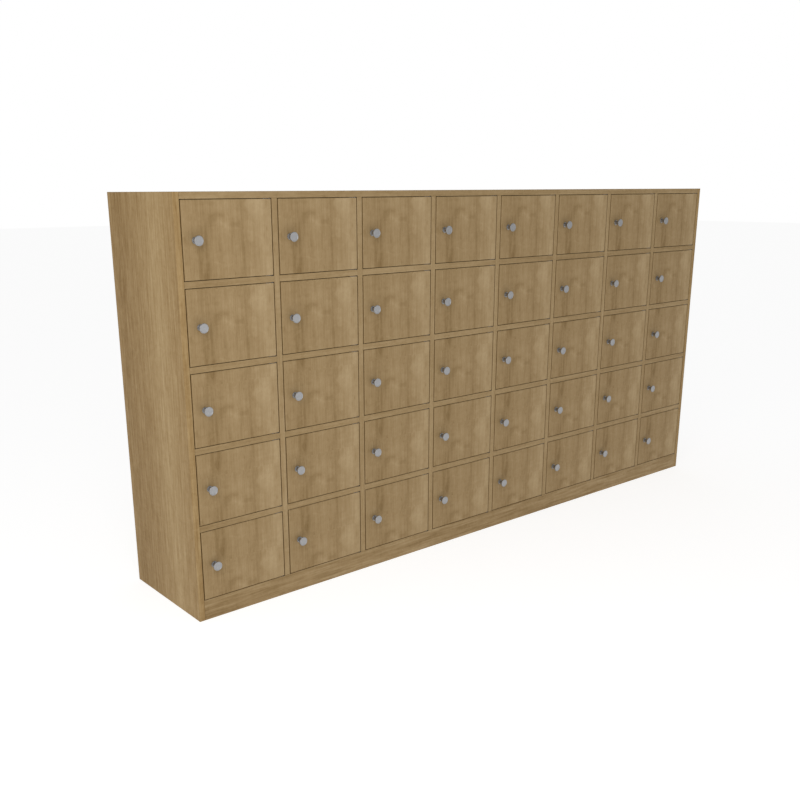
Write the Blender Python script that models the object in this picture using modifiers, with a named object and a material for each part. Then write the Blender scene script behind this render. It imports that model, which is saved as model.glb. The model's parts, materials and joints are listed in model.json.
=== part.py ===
"""A bank of forty coin-return lockers in oak-faced board, made as separate pieces.

X runs along the front from left to right, Y from the front to the back, and Z up. The bank
stands on the floor, and the origin is under the middle of its overall box, knobs included.
Rows are counted from the top and columns from the left. Each door swings on a pair of pivot
pins at its right edge. The lock of the top left door comes apart into its case, its knob
with the cam, and its coin carriage. The other locks are joined to their doors.
"""

import math

import bmesh
import bpy
from mathutils import Matrix, Vector

# Carcass, in metres
WIDTH = 2.400
HEIGHT = 1.200
DEPTH = 0.400
BOARD = 0.018
BACK_BOARD = 0.008
PLINTH = 0.062
COLUMNS = 8
ROWS = 5
JOINT_GAP = 0.0003
OVERSHOOT = 0.002  # how far a cutter stands out of the face that it opens

# Doors and their pivot pins
DOOR_GAP = 0.002
PIVOT_INSET = 0.004  # from the door's front and right faces to the pivot axis
PIN_RADIUS = 0.002
PIN_REACH = 0.007  # how far a pin goes into the board above or below
PIN_SIDES = 8
BORE_RADIUS = 0.0025
BORE_DEPTH = 0.009

# Knob: each height is measured forwards from the door's front face
KNOB_REACH = 0.023
KNOB_SETBACK = 0.0365  # from the door's left edge to the knob's centre
HEAD_RADIUS = 0.0135
HEAD_RIM = 0.004
NECK_RADIUS = 0.0065
NECK_TOP = 0.012
ROSE_RADIUS = 0.009
ROSE_HEIGHT = 0.003
KNOB_SIDES = 12

# Lock: each depth is measured backwards from the door's back face
CASE_WIDTH = 0.060
CASE_HEIGHT = 0.100
CASE_DEPTH = 0.028
CASE_WALL = 0.002
BARREL_RADIUS = 0.008
BARREL_BORE = 0.0085  # radius of the hole in the door
SPINDLE_RADIUS = 0.004
SPINDLE_BORE = 0.0046
CAM_FRONT = 0.005
CAM_THICKNESS = 0.003
CAM_HALF_WIDTH = 0.006
CAM_LENGTH = 0.045
PINION_FRONT = 0.010
PINION_LENGTH = 0.006
PINION_RADIUS = 0.006
RACK_CLEARANCE = 0.0009
RACK_WIDTH = 0.004
RACK_BOTTOM = -0.030
RACK_TOP = 0.010
CARRIAGE_FRONT = 0.0175
CARRIAGE_THICKNESS = 0.003
CARRIAGE_HALF_WIDTH = 0.020
CARRIAGE_BOTTOM = -0.034
CARRIAGE_TOP = 0.022
COIN_RADIUS = 0.012
COIN_SIDES = 24
COIN_SLOT_HALF_LENGTH = 0.0135
COIN_SLOT_MARGIN = 0.0004
WINDOW_HALF_WIDTH = 0.017
WINDOW_BOTTOM = -0.046
WINDOW_TOP = -0.026

# Strike pocket that the cam turns into, around the knob's height
POCKET_DEPTH = 0.010
POCKET_CLEARANCE = 0.0015
SWEEP_BOTTOM = -0.038  # lowest point that the cam passes on its way into the pocket
SWEEP_TOP = 0.009

# Places worked out from the sizes above
FRONT = (KNOB_REACH - DEPTH) / 2
BACK = FRONT + DEPTH
HALVING = FRONT + DEPTH / 2  # where a divider's and a shelf's notches meet
INNER_BACK = BACK - BACK_BOARD
LEFT_WALL = BOARD - WIDTH / 2
RIGHT_WALL = WIDTH / 2 - BOARD
CEILING = HEIGHT - BOARD
BAY_WIDTH = (WIDTH - (COLUMNS + 1) * BOARD) / COLUMNS
BAY_HEIGHT = (HEIGHT - PLINTH - ROWS * BOARD) / ROWS
COLUMN_PITCH = BAY_WIDTH + BOARD
ROW_PITCH = BAY_HEIGHT + BOARD
DOOR_WIDTH = BAY_WIDTH - 2 * DOOR_GAP
DOOR_HEIGHT = BAY_HEIGHT - 2 * DOOR_GAP
DOOR_BACK = BOARD - PIVOT_INSET  # the door's back face, in the door's own frame
KNOB_X = PIVOT_INSET - DOOR_WIDTH + KNOB_SETBACK  # the knob's centre, in the door's frame

COLLECTION = "coin_operated_locker"
CUTTERS = "cutters"


def clear_scene():
    """Removes whatever the file holds."""
    for obj in list(bpy.data.objects):
        bpy.data.objects.remove(obj)


def add_collection(name):
    collection = bpy.data.collections.new(name)
    bpy.context.scene.collection.children.link(collection)
    return collection


def finish(name, colour, metallic, roughness):
    """A material with one colour."""
    material = bpy.data.materials.new(name)
    material.use_nodes = True
    shader = material.node_tree.nodes["Principled BSDF"]
    shader.inputs["Base Color"].default_value = (*colour, 1)
    shader.inputs["Metallic"].default_value = metallic
    shader.inputs["Roughness"].default_value = roughness
    return material


def bay_left(column):
    """X of the left wall of a column's bays."""
    return LEFT_WALL + (column - 1) * COLUMN_PITCH


def bay_floor(row):
    """Z of the floor of a row's bays."""
    return PLINTH + (ROWS - row) * ROW_PITCH


def pivot_x(column):
    return bay_left(column) + BAY_WIDTH - DOOR_GAP - PIVOT_INSET


def box_mesh(name, boxes):
    """A mesh of boxes, each given by its lowest and its highest corner."""
    shape = bmesh.new()
    for low, high in boxes:
        low, high = Vector(low), Vector(high)
        size = high - low
        placing = Matrix.Translation((low + high) / 2) @ Matrix.Diagonal((*size, 1))
        bmesh.ops.create_cube(shape, size=1, matrix=placing)
    return mesh_from(shape, name)


def rod_mesh(name, centres, radius, length, sides, along_y=False):
    """A mesh of round rods that run along Z, or along Y."""
    turn = Matrix.Rotation(math.radians(90), 4, "X") if along_y else Matrix.Identity(4)
    shape = bmesh.new()
    for centre in centres:
        bmesh.ops.create_cone(
            shape,
            cap_ends=True,
            segments=sides,
            radius1=radius,
            radius2=radius,
            depth=length,
            matrix=Matrix.Translation(centre) @ turn,
        )
    return mesh_from(shape, name)


def mesh_from(shape, name):
    mesh = bpy.data.meshes.new(name)
    shape.to_mesh(mesh)
    shape.free()
    return mesh


def add_object(name, mesh, collection, location=(0, 0, 0), material=None, parent=None):
    obj = bpy.data.objects.new(name, mesh)
    obj.location = location
    obj.parent = parent
    if material and not mesh.materials:
        mesh.materials.append(material)
    collection.objects.link(obj)
    return obj


def add_cutter(name, mesh, location=(0, 0, 0), parent=None):
    cutter = add_object(name, mesh, bpy.data.collections[CUTTERS], location, parent=parent)
    cutter.hide_render = True
    cutter.display_type = "WIRE"
    return cutter


def combine(piece, other, operation):
    """Cuts another object out of a piece, or joins it on."""
    modifier = piece.modifiers.new(other.name, "BOOLEAN")
    modifier.operation = operation
    modifier.solver = "EXACT"
    modifier.object = other


def applied(obj, name):
    """The mesh that an object's modifiers make."""
    bpy.context.view_layer.update()
    depsgraph = bpy.context.evaluated_depsgraph_get()
    mesh = bpy.data.meshes.new_from_object(obj.evaluated_get(depsgraph))
    mesh.name = name
    return mesh


def turned_mesh(name, profile, centre):
    """A solid turned around an axis that points forwards, along -Y.

    The profile is a list of radius and height, from the tip of the axis to its foot.
    """
    outline = bpy.data.meshes.new(name + "_profile")
    points = [(radius, 0, height) for radius, height in profile]
    outline.from_pydata(points, [(i, i + 1) for i in range(len(points) - 1)], [])
    blank = add_cutter(name + "_blank", outline)
    screw = blank.modifiers.new("turning", "SCREW")
    screw.axis = "Z"
    screw.steps = screw.render_steps = KNOB_SIDES
    screw.use_merge_vertices = True
    screw.merge_threshold = 0.00001
    mesh = applied(blank, name)
    bpy.data.objects.remove(blank)
    mesh.transform(Matrix.Translation(centre) @ Matrix.Rotation(math.radians(90), 4, "X"))
    return mesh


def round_off(mesh):
    """Smooth shading on the round faces, with the edges of the flat ones kept."""
    mesh.shade_smooth()
    mesh.set_sharp_from_angle(angle=math.radians(35))


def add_board(name, low, high, material, bank):
    """A board from its lowest to its highest corner, with its origin at its centre."""
    low, high = Vector(low), Vector(high)
    half = (high - low) / 2
    mesh = box_mesh(name, [(-half, half)])
    return add_object(name, mesh, bank.users_collection[0], low + half, material, bank)


def pivot_bores():
    """One drill per column, through every board that a door hangs between."""
    length = CEILING - PLINTH + 2 * BORE_DEPTH
    middle = (CEILING + PLINTH) / 2
    centres = [(pivot_x(c), FRONT + PIVOT_INSET, middle) for c in range(1, COLUMNS + 1)]
    return add_cutter(
        "pivot_bores", rod_mesh("pivot_bores", centres, BORE_RADIUS, length, PIN_SIDES)
    )


def strike_pockets():
    """A pocket in the left wall of each bay, for the cam of that bay's lock."""
    cam_front = FRONT + BOARD + CAM_FRONT
    boxes = []
    for column in range(1, COLUMNS + 1):
        for row in range(1, ROWS + 1):
            wall = bay_left(column)
            knob_height = bay_floor(row) + BAY_HEIGHT / 2
            low = (wall - POCKET_DEPTH, cam_front - POCKET_CLEARANCE, knob_height + SWEEP_BOTTOM)
            high = (
                wall + OVERSHOOT,
                cam_front + CAM_THICKNESS + POCKET_CLEARANCE,
                knob_height + SWEEP_TOP,
            )
            boxes.append((low, high))
    return add_cutter("strike_pockets", box_mesh("strike_pockets", boxes))


def divider_notches():
    """The notches in a shelf's front half, one for each divider."""
    boxes = []
    for column in range(2, COLUMNS + 1):
        left = bay_left(column) - BOARD - JOINT_GAP
        low = (left, FRONT - OVERSHOOT, PLINTH)
        high = (bay_left(column) + JOINT_GAP, HALVING + JOINT_GAP, CEILING)
        boxes.append((low, high))
    return add_cutter("divider_notches", box_mesh("divider_notches", boxes))


def shelf_notches():
    """The notches in a divider's back half, one for each shelf."""
    boxes = []
    for row in range(1, ROWS):
        top = bay_floor(row) + JOINT_GAP
        low = (LEFT_WALL, HALVING, bay_floor(row) - BOARD - JOINT_GAP)
        boxes.append((low, (RIGHT_WALL, INNER_BACK + OVERSHOOT, top)))
    return add_cutter("shelf_notches", box_mesh("shelf_notches", boxes))


def add_outer_boards(oak, bank, bores, pockets):
    left, right = LEFT_WALL + JOINT_GAP, RIGHT_WALL - JOINT_GAP
    left_side = add_board(
        "left_side_panel", (-WIDTH / 2, FRONT, 0), (LEFT_WALL, BACK, HEIGHT), oak, bank
    )
    combine(left_side, pockets, "DIFFERENCE")
    add_board("right_side_panel", (RIGHT_WALL, FRONT, 0), (WIDTH / 2, BACK, HEIGHT), oak, bank)
    top = add_board("top_panel", (left, FRONT, CEILING), (right, BACK, HEIGHT), oak, bank)
    plinth = add_board("plinth_board", (left, FRONT, 0), (right, FRONT + BOARD, PLINTH), oak, bank)
    for board in (top, plinth):
        combine(board, bores, "DIFFERENCE")
    bottom_low = (left, FRONT + BOARD + JOINT_GAP, PLINTH - BOARD)
    bottom_high = (right, INNER_BACK - JOINT_GAP, PLINTH)
    add_board("bottom_panel", bottom_low, bottom_high, oak, bank)
    back_low, back_high = (left, INNER_BACK, 0), (right, BACK, CEILING - JOINT_GAP)
    add_board("back_panel", back_low, back_high, oak, bank)


def add_dividers(oak, bank, notches, pockets):
    for column in range(2, COLUMNS + 1):
        left = bay_left(column) - BOARD
        low = (left, FRONT, PLINTH + JOINT_GAP)
        high = (left + BOARD, INNER_BACK - JOINT_GAP, CEILING - JOINT_GAP)
        divider = add_board(f"divider_{column - 1}", low, high, oak, bank)
        combine(divider, notches, "DIFFERENCE")
        combine(divider, pockets, "DIFFERENCE")


def add_shelves(oak, bank, notches, bores):
    for row in range(1, ROWS):
        top = bay_floor(row)
        low = (LEFT_WALL + JOINT_GAP, FRONT, top - BOARD)
        high = (RIGHT_WALL - JOINT_GAP, INNER_BACK - JOINT_GAP, top)
        shelf = add_board(f"shelf_{row}", low, high, oak, bank)
        combine(shelf, notches, "DIFFERENCE")
        combine(shelf, bores, "DIFFERENCE")


def door_panel_box():
    """The door's panel in its own frame: the pivot axis at mid-height."""
    low = (PIVOT_INSET - DOOR_WIDTH, -PIVOT_INSET, -DOOR_HEIGHT / 2)
    return low, (PIVOT_INSET, DOOR_BACK, DOOR_HEIGHT / 2)


def pin_mesh():
    """Both pivot pins, as one rod through the door."""
    length = DOOR_HEIGHT + 2 * (DOOR_GAP + PIN_REACH)
    return rod_mesh("pivot_pins", [(0, 0, 0)], PIN_RADIUS, length, PIN_SIDES)


def knob_head():
    """The knob's profile from its face down to the foot of its neck."""
    return [
        (0, KNOB_REACH),
        (HEAD_RADIUS, KNOB_REACH),
        (HEAD_RADIUS, KNOB_REACH - HEAD_RIM),
        (NECK_RADIUS, NECK_TOP),
    ]


def fixed_knob_profile():
    """A knob with its rose, let 1 mm into the door."""
    rooted = -0.001
    neck_and_rose = [
        (NECK_RADIUS, ROSE_HEIGHT),
        (ROSE_RADIUS, ROSE_HEIGHT),
        (ROSE_RADIUS, rooted),
        (0, rooted),
    ]
    return knob_head() + neck_and_rose


def turning_knob_profile():
    """A knob with its spindle and, at the end, the blank of the pinion for the carriage."""
    neck_foot = ROSE_HEIGHT + JOINT_GAP
    pinion_front = -BOARD - PINION_FRONT
    spindle_and_pinion = [
        (NECK_RADIUS, neck_foot),
        (SPINDLE_RADIUS, neck_foot),
        (SPINDLE_RADIUS, pinion_front),
        (PINION_RADIUS, pinion_front),
        (PINION_RADIUS, pinion_front - PINION_LENGTH),
        (0, pinion_front - PINION_LENGTH),
    ]
    return knob_head() + spindle_and_pinion


def barrel_profile():
    """The tube of the lock case through the door, with the rose in front."""
    return [
        (0, ROSE_HEIGHT),
        (ROSE_RADIUS, ROSE_HEIGHT),
        (ROSE_RADIUS, JOINT_GAP),
        (BARREL_RADIUS, JOINT_GAP),
        (BARREL_RADIUS, -BOARD - CASE_WALL / 2),
        (0, -BOARD - CASE_WALL / 2),
    ]


def case_box(front):
    """The outside of a lock case in the door's frame, from a depth behind the door."""
    low = (KNOB_X - CASE_WIDTH / 2, DOOR_BACK + front, -CASE_HEIGHT / 2)
    return low, (KNOB_X + CASE_WIDTH / 2, DOOR_BACK + CASE_DEPTH, CASE_HEIGHT / 2)


def joined_door_mesh(oak):
    """A door with its pins, knob and lock case in one solid."""
    door = add_cutter("door_blank", box_mesh("door_blank", [door_panel_box()]))
    knob_foot = (KNOB_X, -PIVOT_INSET, 0)
    fittings = [
        add_cutter("door_pins", pin_mesh()),
        add_cutter("door_knob", turned_mesh("door_knob", fixed_knob_profile(), knob_foot)),
        add_cutter("door_lock_case", box_mesh("door_lock_case", [case_box(-JOINT_GAP)])),
    ]
    for fitting in fittings:
        combine(door, fitting, "UNION")
    mesh = applied(door, "door_with_lock")
    for obj in [door, *fittings]:
        bpy.data.objects.remove(obj)
    mesh.materials.clear()
    mesh.materials.append(oak)
    round_off(mesh)
    return mesh


def add_joined_doors(oak, bank):
    """Every door but the top left one."""
    mesh = joined_door_mesh(oak)
    for row in range(1, ROWS + 1):
        for column in range(1, COLUMNS + 1):
            if (row, column) != (1, 1):
                place = door_origin(row, column)
                name = f"door_r{row}_c{column}"
                add_object(name, mesh, bank.users_collection[0], place, oak, bank)


def door_origin(row, column):
    return pivot_x(column), FRONT + PIVOT_INSET, bay_floor(row) + BAY_HEIGHT / 2


def add_first_door(oak, bank):
    """The top left door: a panel with its pins and the hole for the lock's barrel."""
    door = add_object(
        "door_r1_c1",
        box_mesh("door_r1_c1", [door_panel_box()]),
        bank.users_collection[0],
        door_origin(1, 1),
        oak,
        bank,
    )
    pins = add_cutter("first_door_pins", pin_mesh(), parent=door)
    middle = (KNOB_X, (DOOR_BACK - PIVOT_INSET) / 2, 0)
    length = BOARD + 2 * OVERSHOOT
    bore_mesh = rod_mesh("barrel_bore", [middle], BARREL_BORE, length, KNOB_SIDES, along_y=True)
    bore = add_cutter("barrel_bore", bore_mesh, parent=door)
    combine(door, pins, "UNION")
    combine(door, bore, "DIFFERENCE")
    return door


def add_lock_case(zinc, door):
    """A hollow case on the back of the door, with its barrel, slots and coin window."""
    parts = door.users_collection[0]
    mesh = box_mesh("lock_case", [case_box(JOINT_GAP)])
    case = add_object("lock_case", mesh, parts, (0, 0, 0), zinc, door)
    barrel_mesh = turned_mesh("lock_barrel", barrel_profile(), (KNOB_X, -PIVOT_INSET, 0))
    barrel = add_cutter("lock_barrel", barrel_mesh, parent=door)
    cavity = add_cutter("case_cavity", box_mesh("case_cavity", [case_cavity()]), parent=door)
    slots = add_cutter("case_slots", box_mesh("case_slots", case_openings()), parent=door)
    middle = (KNOB_X, (DOOR_BACK - PIVOT_INSET) / 2, 0)
    length = BOARD + 2 * (ROSE_HEIGHT + CASE_WALL + OVERSHOOT)
    bore_mesh = rod_mesh("spindle_bore", [middle], SPINDLE_BORE, length, KNOB_SIDES, along_y=True)
    bore = add_cutter("spindle_bore", bore_mesh, parent=door)
    combine(case, barrel, "UNION")
    for cutter in (cavity, slots, bore):
        combine(case, cutter, "DIFFERENCE")
    return case


def case_cavity():
    low, high = case_box(JOINT_GAP)
    wall = Vector((CASE_WALL, CASE_WALL, CASE_WALL))
    return Vector(low) + wall, Vector(high) - wall


def case_openings():
    """The cam's slot in the left wall, the coin slot in the top and the coin window behind."""
    left, _, _ = case_box(JOINT_GAP)[0]
    _, back, top = case_box(JOINT_GAP)[1]
    through = CASE_WALL + OVERSHOOT
    cam_front = DOOR_BACK + CAM_FRONT
    cam_back = cam_front + CAM_THICKNESS
    cam_slot = (
        (left - OVERSHOOT, cam_front - POCKET_CLEARANCE, SWEEP_BOTTOM),
        (left + through, cam_back + POCKET_CLEARANCE, SWEEP_TOP),
    )
    coin_front = DOOR_BACK + CARRIAGE_FRONT
    coin_back = coin_front + CARRIAGE_THICKNESS
    coin_slot = (
        (KNOB_X - COIN_SLOT_HALF_LENGTH, coin_front - COIN_SLOT_MARGIN, top - through),
        (KNOB_X + COIN_SLOT_HALF_LENGTH, coin_back + COIN_SLOT_MARGIN, top + OVERSHOOT),
    )
    coin_window = (
        (KNOB_X - WINDOW_HALF_WIDTH, back - through, WINDOW_BOTTOM),
        (KNOB_X + WINDOW_HALF_WIDTH, back + OVERSHOOT, WINDOW_TOP),
    )
    return [cam_slot, coin_slot, coin_window]


def add_lock_knob(zinc, door):
    """The knob, spindle, pinion and cam, which turn as one. The cam hangs down unlocked."""
    profile = turning_knob_profile()
    foot = (0, -PIVOT_INSET, 0)
    mesh = turned_mesh("lock_knob", profile, foot)
    round_off(mesh)
    knob = add_object("lock_knob", mesh, door.users_collection[0], (KNOB_X, 0, 0), zinc, door)
    cam_front = DOOR_BACK + CAM_FRONT
    low = (-CAM_HALF_WIDTH, cam_front, -CAM_LENGTH)
    high = (CAM_HALF_WIDTH, cam_front + CAM_THICKNESS, CAM_HALF_WIDTH)
    cam = add_cutter("lock_cam", box_mesh("lock_cam", [(low, high)]), parent=knob)
    combine(knob, cam, "UNION")
    return knob


def add_coin_carriage(plastic, door):
    """The slide that lifts the coin, with the blank of its rack to the left of the pinion."""
    front = DOOR_BACK + CARRIAGE_FRONT
    low = (-CARRIAGE_HALF_WIDTH, front, CARRIAGE_BOTTOM)
    high = (CARRIAGE_HALF_WIDTH, front + CARRIAGE_THICKNESS, CARRIAGE_TOP)
    mesh = box_mesh("coin_carriage", [(low, high)])
    parts = door.users_collection[0]
    carriage = add_object("coin_carriage", mesh, parts, (KNOB_X, 0, 0), plastic, door)
    middle = front + CARRIAGE_THICKNESS / 2
    rack_right = -PINION_RADIUS - RACK_CLEARANCE
    rack_low = (rack_right - RACK_WIDTH, DOOR_BACK + PINION_FRONT, RACK_BOTTOM)
    rack_high = (rack_right, middle, RACK_TOP)
    rack = add_cutter("rack_bar", box_mesh("rack_bar", [(rack_low, rack_high)]), parent=carriage)
    length = CARRIAGE_THICKNESS + 2 * OVERSHOOT
    pocket_mesh = rod_mesh(
        "coin_pocket", [(0, middle, CARRIAGE_TOP)], COIN_RADIUS, length, COIN_SIDES, along_y=True
    )
    pocket = add_cutter("coin_pocket", pocket_mesh, parent=carriage)
    combine(carriage, rack, "UNION")
    combine(carriage, pocket, "DIFFERENCE")
    return carriage


def build():
    clear_scene()
    parts = add_collection(COLLECTION)
    add_collection(CUTTERS)
    bank = add_object("locker_bank", None, parts)
    oak = finish("oak_faced_board", (0.33, 0.235, 0.122), 0, 0.5)
    zinc = finish("satin_zinc", (0.45, 0.45, 0.46), 0.9, 0.4)
    plastic = finish("black_plastic", (0.03, 0.03, 0.03), 0, 0.5)
    bores = pivot_bores()
    pockets = strike_pockets()
    add_outer_boards(oak, bank, bores, pockets)
    add_dividers(oak, bank, shelf_notches(), pockets)
    add_shelves(oak, bank, divider_notches(), bores)
    door = add_first_door(oak, bank)
    add_lock_case(zinc, door)
    add_lock_knob(zinc, door)
    add_coin_carriage(plastic, door)
    add_joined_doors(oak, bank)


build()
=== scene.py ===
"""Looks of a free-standing bank of forty coin-return lockers in oak-faced board.

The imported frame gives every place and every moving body. This script rounds and faces the
carcass boards, makes each door's panel, knob and lock anew, adds the small fittings that a
joiner would fit, and gives every surface a finish worked out by nodes.
"""

import json
import logging
import math
from dataclasses import dataclass, fields
from enum import Enum
from typing import Iterable, Sequence

import bmesh
import bpy
from mathutils import Matrix, Vector


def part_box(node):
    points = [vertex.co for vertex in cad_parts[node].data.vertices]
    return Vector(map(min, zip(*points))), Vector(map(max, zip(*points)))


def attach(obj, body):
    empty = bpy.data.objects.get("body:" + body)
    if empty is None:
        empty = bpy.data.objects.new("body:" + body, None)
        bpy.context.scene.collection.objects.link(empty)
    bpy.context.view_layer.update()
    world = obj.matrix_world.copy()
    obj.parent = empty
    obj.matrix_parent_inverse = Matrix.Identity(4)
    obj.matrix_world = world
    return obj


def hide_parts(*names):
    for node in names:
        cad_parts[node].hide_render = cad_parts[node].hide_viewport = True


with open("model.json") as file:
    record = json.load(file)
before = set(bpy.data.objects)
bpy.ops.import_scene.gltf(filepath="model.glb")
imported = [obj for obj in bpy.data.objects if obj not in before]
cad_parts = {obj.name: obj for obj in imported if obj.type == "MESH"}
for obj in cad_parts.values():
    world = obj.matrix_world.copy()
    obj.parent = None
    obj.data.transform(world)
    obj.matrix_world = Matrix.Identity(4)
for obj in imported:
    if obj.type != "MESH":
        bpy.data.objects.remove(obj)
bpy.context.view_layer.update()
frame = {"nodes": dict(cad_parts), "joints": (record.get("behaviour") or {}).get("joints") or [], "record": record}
LOG = logging.getLogger("locker_bank")

Point = tuple[float, float, float]
Outline = list[tuple[float, float]]
Colour = tuple[float, float, float]

MM = 0.001
MERGE = 0.00001  # corners closer than this are one corner
FLAT_TURN = math.radians(0.5)  # faces that meet at less than this are one flat face
CRISP_TURN = math.radians(28)  # smooth faces that meet at more than this keep a crisp edge


class Slot(Enum):
    """The record's material slots."""

    OAK = "oak_board"
    KNOB = "knob_metal"
    LOCK = "lock_metal"
    PLASTIC = "black_plastic"


class Grain(Enum):
    """The way that the grain of a board runs."""

    UPRIGHT = "upright"
    LEVEL = "level"


# ------------------------------------------------------------------ node graphs


class Value:
    """A number socket that takes part in Python arithmetic, a Math node at a time."""

    def __init__(self, graph: "NodeGraph", socket: bpy.types.NodeSocket) -> None:
        """Keeps the socket and the graph that new nodes go in."""
        self.graph = graph
        self.socket = socket

    def __add__(self, other: "Value | float") -> "Value":
        """Adds a socket or a number."""
        return self.graph.math("ADD", self, other)

    __radd__ = __add__

    def __sub__(self, other: "Value | float") -> "Value":
        """Takes away a socket or a number."""
        return self.graph.math("SUBTRACT", self, other)

    def __rsub__(self, other: float) -> "Value":
        """Takes the socket away from a number."""
        return self.graph.math("SUBTRACT", other, self)

    def __mul__(self, other: "Value | float") -> "Value":
        """Multiplies by a socket or a number."""
        return self.graph.math("MULTIPLY", self, other)

    __rmul__ = __mul__

    def __truediv__(self, other: "Value | float") -> "Value":
        """Divides by a socket or a number."""
        return self.graph.math("DIVIDE", self, other)

    def above(self, limit: "Value | float") -> "Value":
        """1 where the value is more than a limit, and 0 elsewhere."""
        return self.graph.math("GREATER_THAN", self, limit)

    def modulo(self, period: float) -> "Value":
        """The place within one period, from 0 up to the period."""
        return self.graph.math("FLOORED_MODULO", self, period)

    def size(self) -> "Value":
        """The value without its sign."""
        return self.graph.math("ABSOLUTE", self)

    def bell(self) -> "Value":
        """1 where the value is 0, falling off smoothly to 0 on both sides."""
        return self.graph.math("EXPONENT", self * self * -1.0)

    def clamped(self) -> "Value":
        """The value held between 0 and 1."""
        return self.graph.math("MINIMUM", self.graph.math("MAXIMUM", self, 0.0), 1.0)


class NodeGraph:
    """A node tree, with one method that makes every node in it."""

    def __init__(self, tree: bpy.types.NodeTree) -> None:
        """Starts from an empty tree."""
        self.tree = tree
        tree.nodes.clear()

    def node(
        self,
        kind: str,
        settings: dict[str, object] | None = None,
        inputs: dict[str | int, object] | None = None,
    ) -> bpy.types.Node:
        """Makes one node.

        Args:
            kind: The node's type.
            settings: Its properties, set first. "stops" fills a colour ramp.
            inputs: What each socket holds or is linked to, by name or by number.

        Returns:
            The new node.
        """
        node = self.tree.nodes.new(kind)
        for name, value in (settings or {}).items():
            if name == "stops":
                self._fill_ramp(node.color_ramp, value)
            else:
                setattr(node, name, value)
        for name, value in (inputs or {}).items():
            values = value if isinstance(value, list) else [value]
            for item in values:
                self._feed(node.inputs[name], item)
        return node

    def _fill_ramp(self, ramp: bpy.types.ColorRamp, stops: object) -> None:
        """Gives a colour ramp its stops, as pairs of place and colour.

        Args:
            ramp: The ramp to fill.
            stops: The pairs.
        """
        while len(ramp.elements) > 1:
            ramp.elements.remove(ramp.elements[-1])
        for number, (place, colour) in enumerate(stops):
            stop = ramp.elements[0] if number == 0 else ramp.elements.new(place)
            stop.position = place
            stop.color = (*colour, 1.0)

    def _feed(self, socket: bpy.types.NodeSocket, value: object) -> None:
        """Links a socket, or sets its own value.

        Args:
            socket: The socket of the new node.
            value: A link or a plain value.
        """
        if isinstance(value, Value):
            self.tree.links.new(value.socket, socket)
        elif isinstance(value, bpy.types.NodeSocket):
            self.tree.links.new(value, socket)
        else:
            socket.default_value = value

    def math(self, operation: str, first: Value | float, second: Value | float = 0.0) -> Value:
        """One Math node on sockets or numbers.

        Args:
            operation: The node's operation.
            first: What its first socket holds.
            second: What its second socket holds.

        Returns:
            The result.
        """
        node = self.node("ShaderNodeMath", {"operation": operation}, {0: first, 1: second})
        return Value(self, node.outputs[0])


class ShaderGraph(NodeGraph):
    """The node tree of a material."""

    def __init__(self, name: str) -> None:
        """Makes the material and clears its tree.

        Args:
            name: The material's name.
        """
        self.material = bpy.data.materials.new(name)
        self.material.use_nodes = True
        super().__init__(self.material.node_tree)

    def place(self) -> tuple[Value, Value, Value]:
        """The three object coordinates of the shaded point, in metres.

        Returns:
            X, Y and Z.
        """
        coordinates = self.node("ShaderNodeTexCoord").outputs["Object"]
        split = self.node("ShaderNodeSeparateXYZ", {}, {0: coordinates})
        return tuple(Value(self, socket) for socket in split.outputs)

    def noise(self, x: Value, y: Value, z: Value, detail: float = 2.0, warp: float = 0.0) -> Value:
        """Smooth noise from 0 to 1 at a place that is already scaled.

        Args:
            x: The first coordinate.
            y: The second one.
            z: The third one.
            detail: Layers of finer noise.
            warp: How far the noise bends itself.

        Returns:
            The noise.
        """
        vector = self.node("ShaderNodeCombineXYZ", {}, {0: x, 1: y, 2: z}).outputs[0]
        wanted = {"Vector": vector, "Scale": 1.0, "Detail": detail, "Distortion": warp}
        return Value(self, self.node("ShaderNodeTexNoise", {}, wanted).outputs[0])

    def ramp(self, factor: Value, stops: Sequence[tuple[float, Colour]]) -> bpy.types.NodeSocket:
        """A colour ramp over a value from 0 to 1."""
        return self.node("ShaderNodeValToRGB", {"stops": stops}, {0: factor}).outputs[0]

    def bump(self, height: Value, strength: float, distance: float) -> bpy.types.NodeSocket:
        """A normal bent by a height.

        Args:
            height: The height.
            strength: How much of the bend is kept.
            distance: How high a height of 1 stands, in metres.

        Returns:
            The normal's socket.
        """
        wanted = {"Strength": strength, "Distance": distance, "Height": height}
        return self.node("ShaderNodeBump", {}, wanted).outputs[0]

    def surface(self, sockets: dict[str, object]) -> bpy.types.Material:
        """Ends the tree in a Principled shader.

        Args:
            sockets: What each of the shader's sockets holds or is linked to.

        Returns:
            The finished material.
        """
        shader = self.node("ShaderNodeBsdfPrincipled", {}, sockets)
        self.node("ShaderNodeOutputMaterial", {}, {"Surface": shader.outputs[0]})
        return self.material


# ------------------------------------------------------------------ the grid of bays


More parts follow.
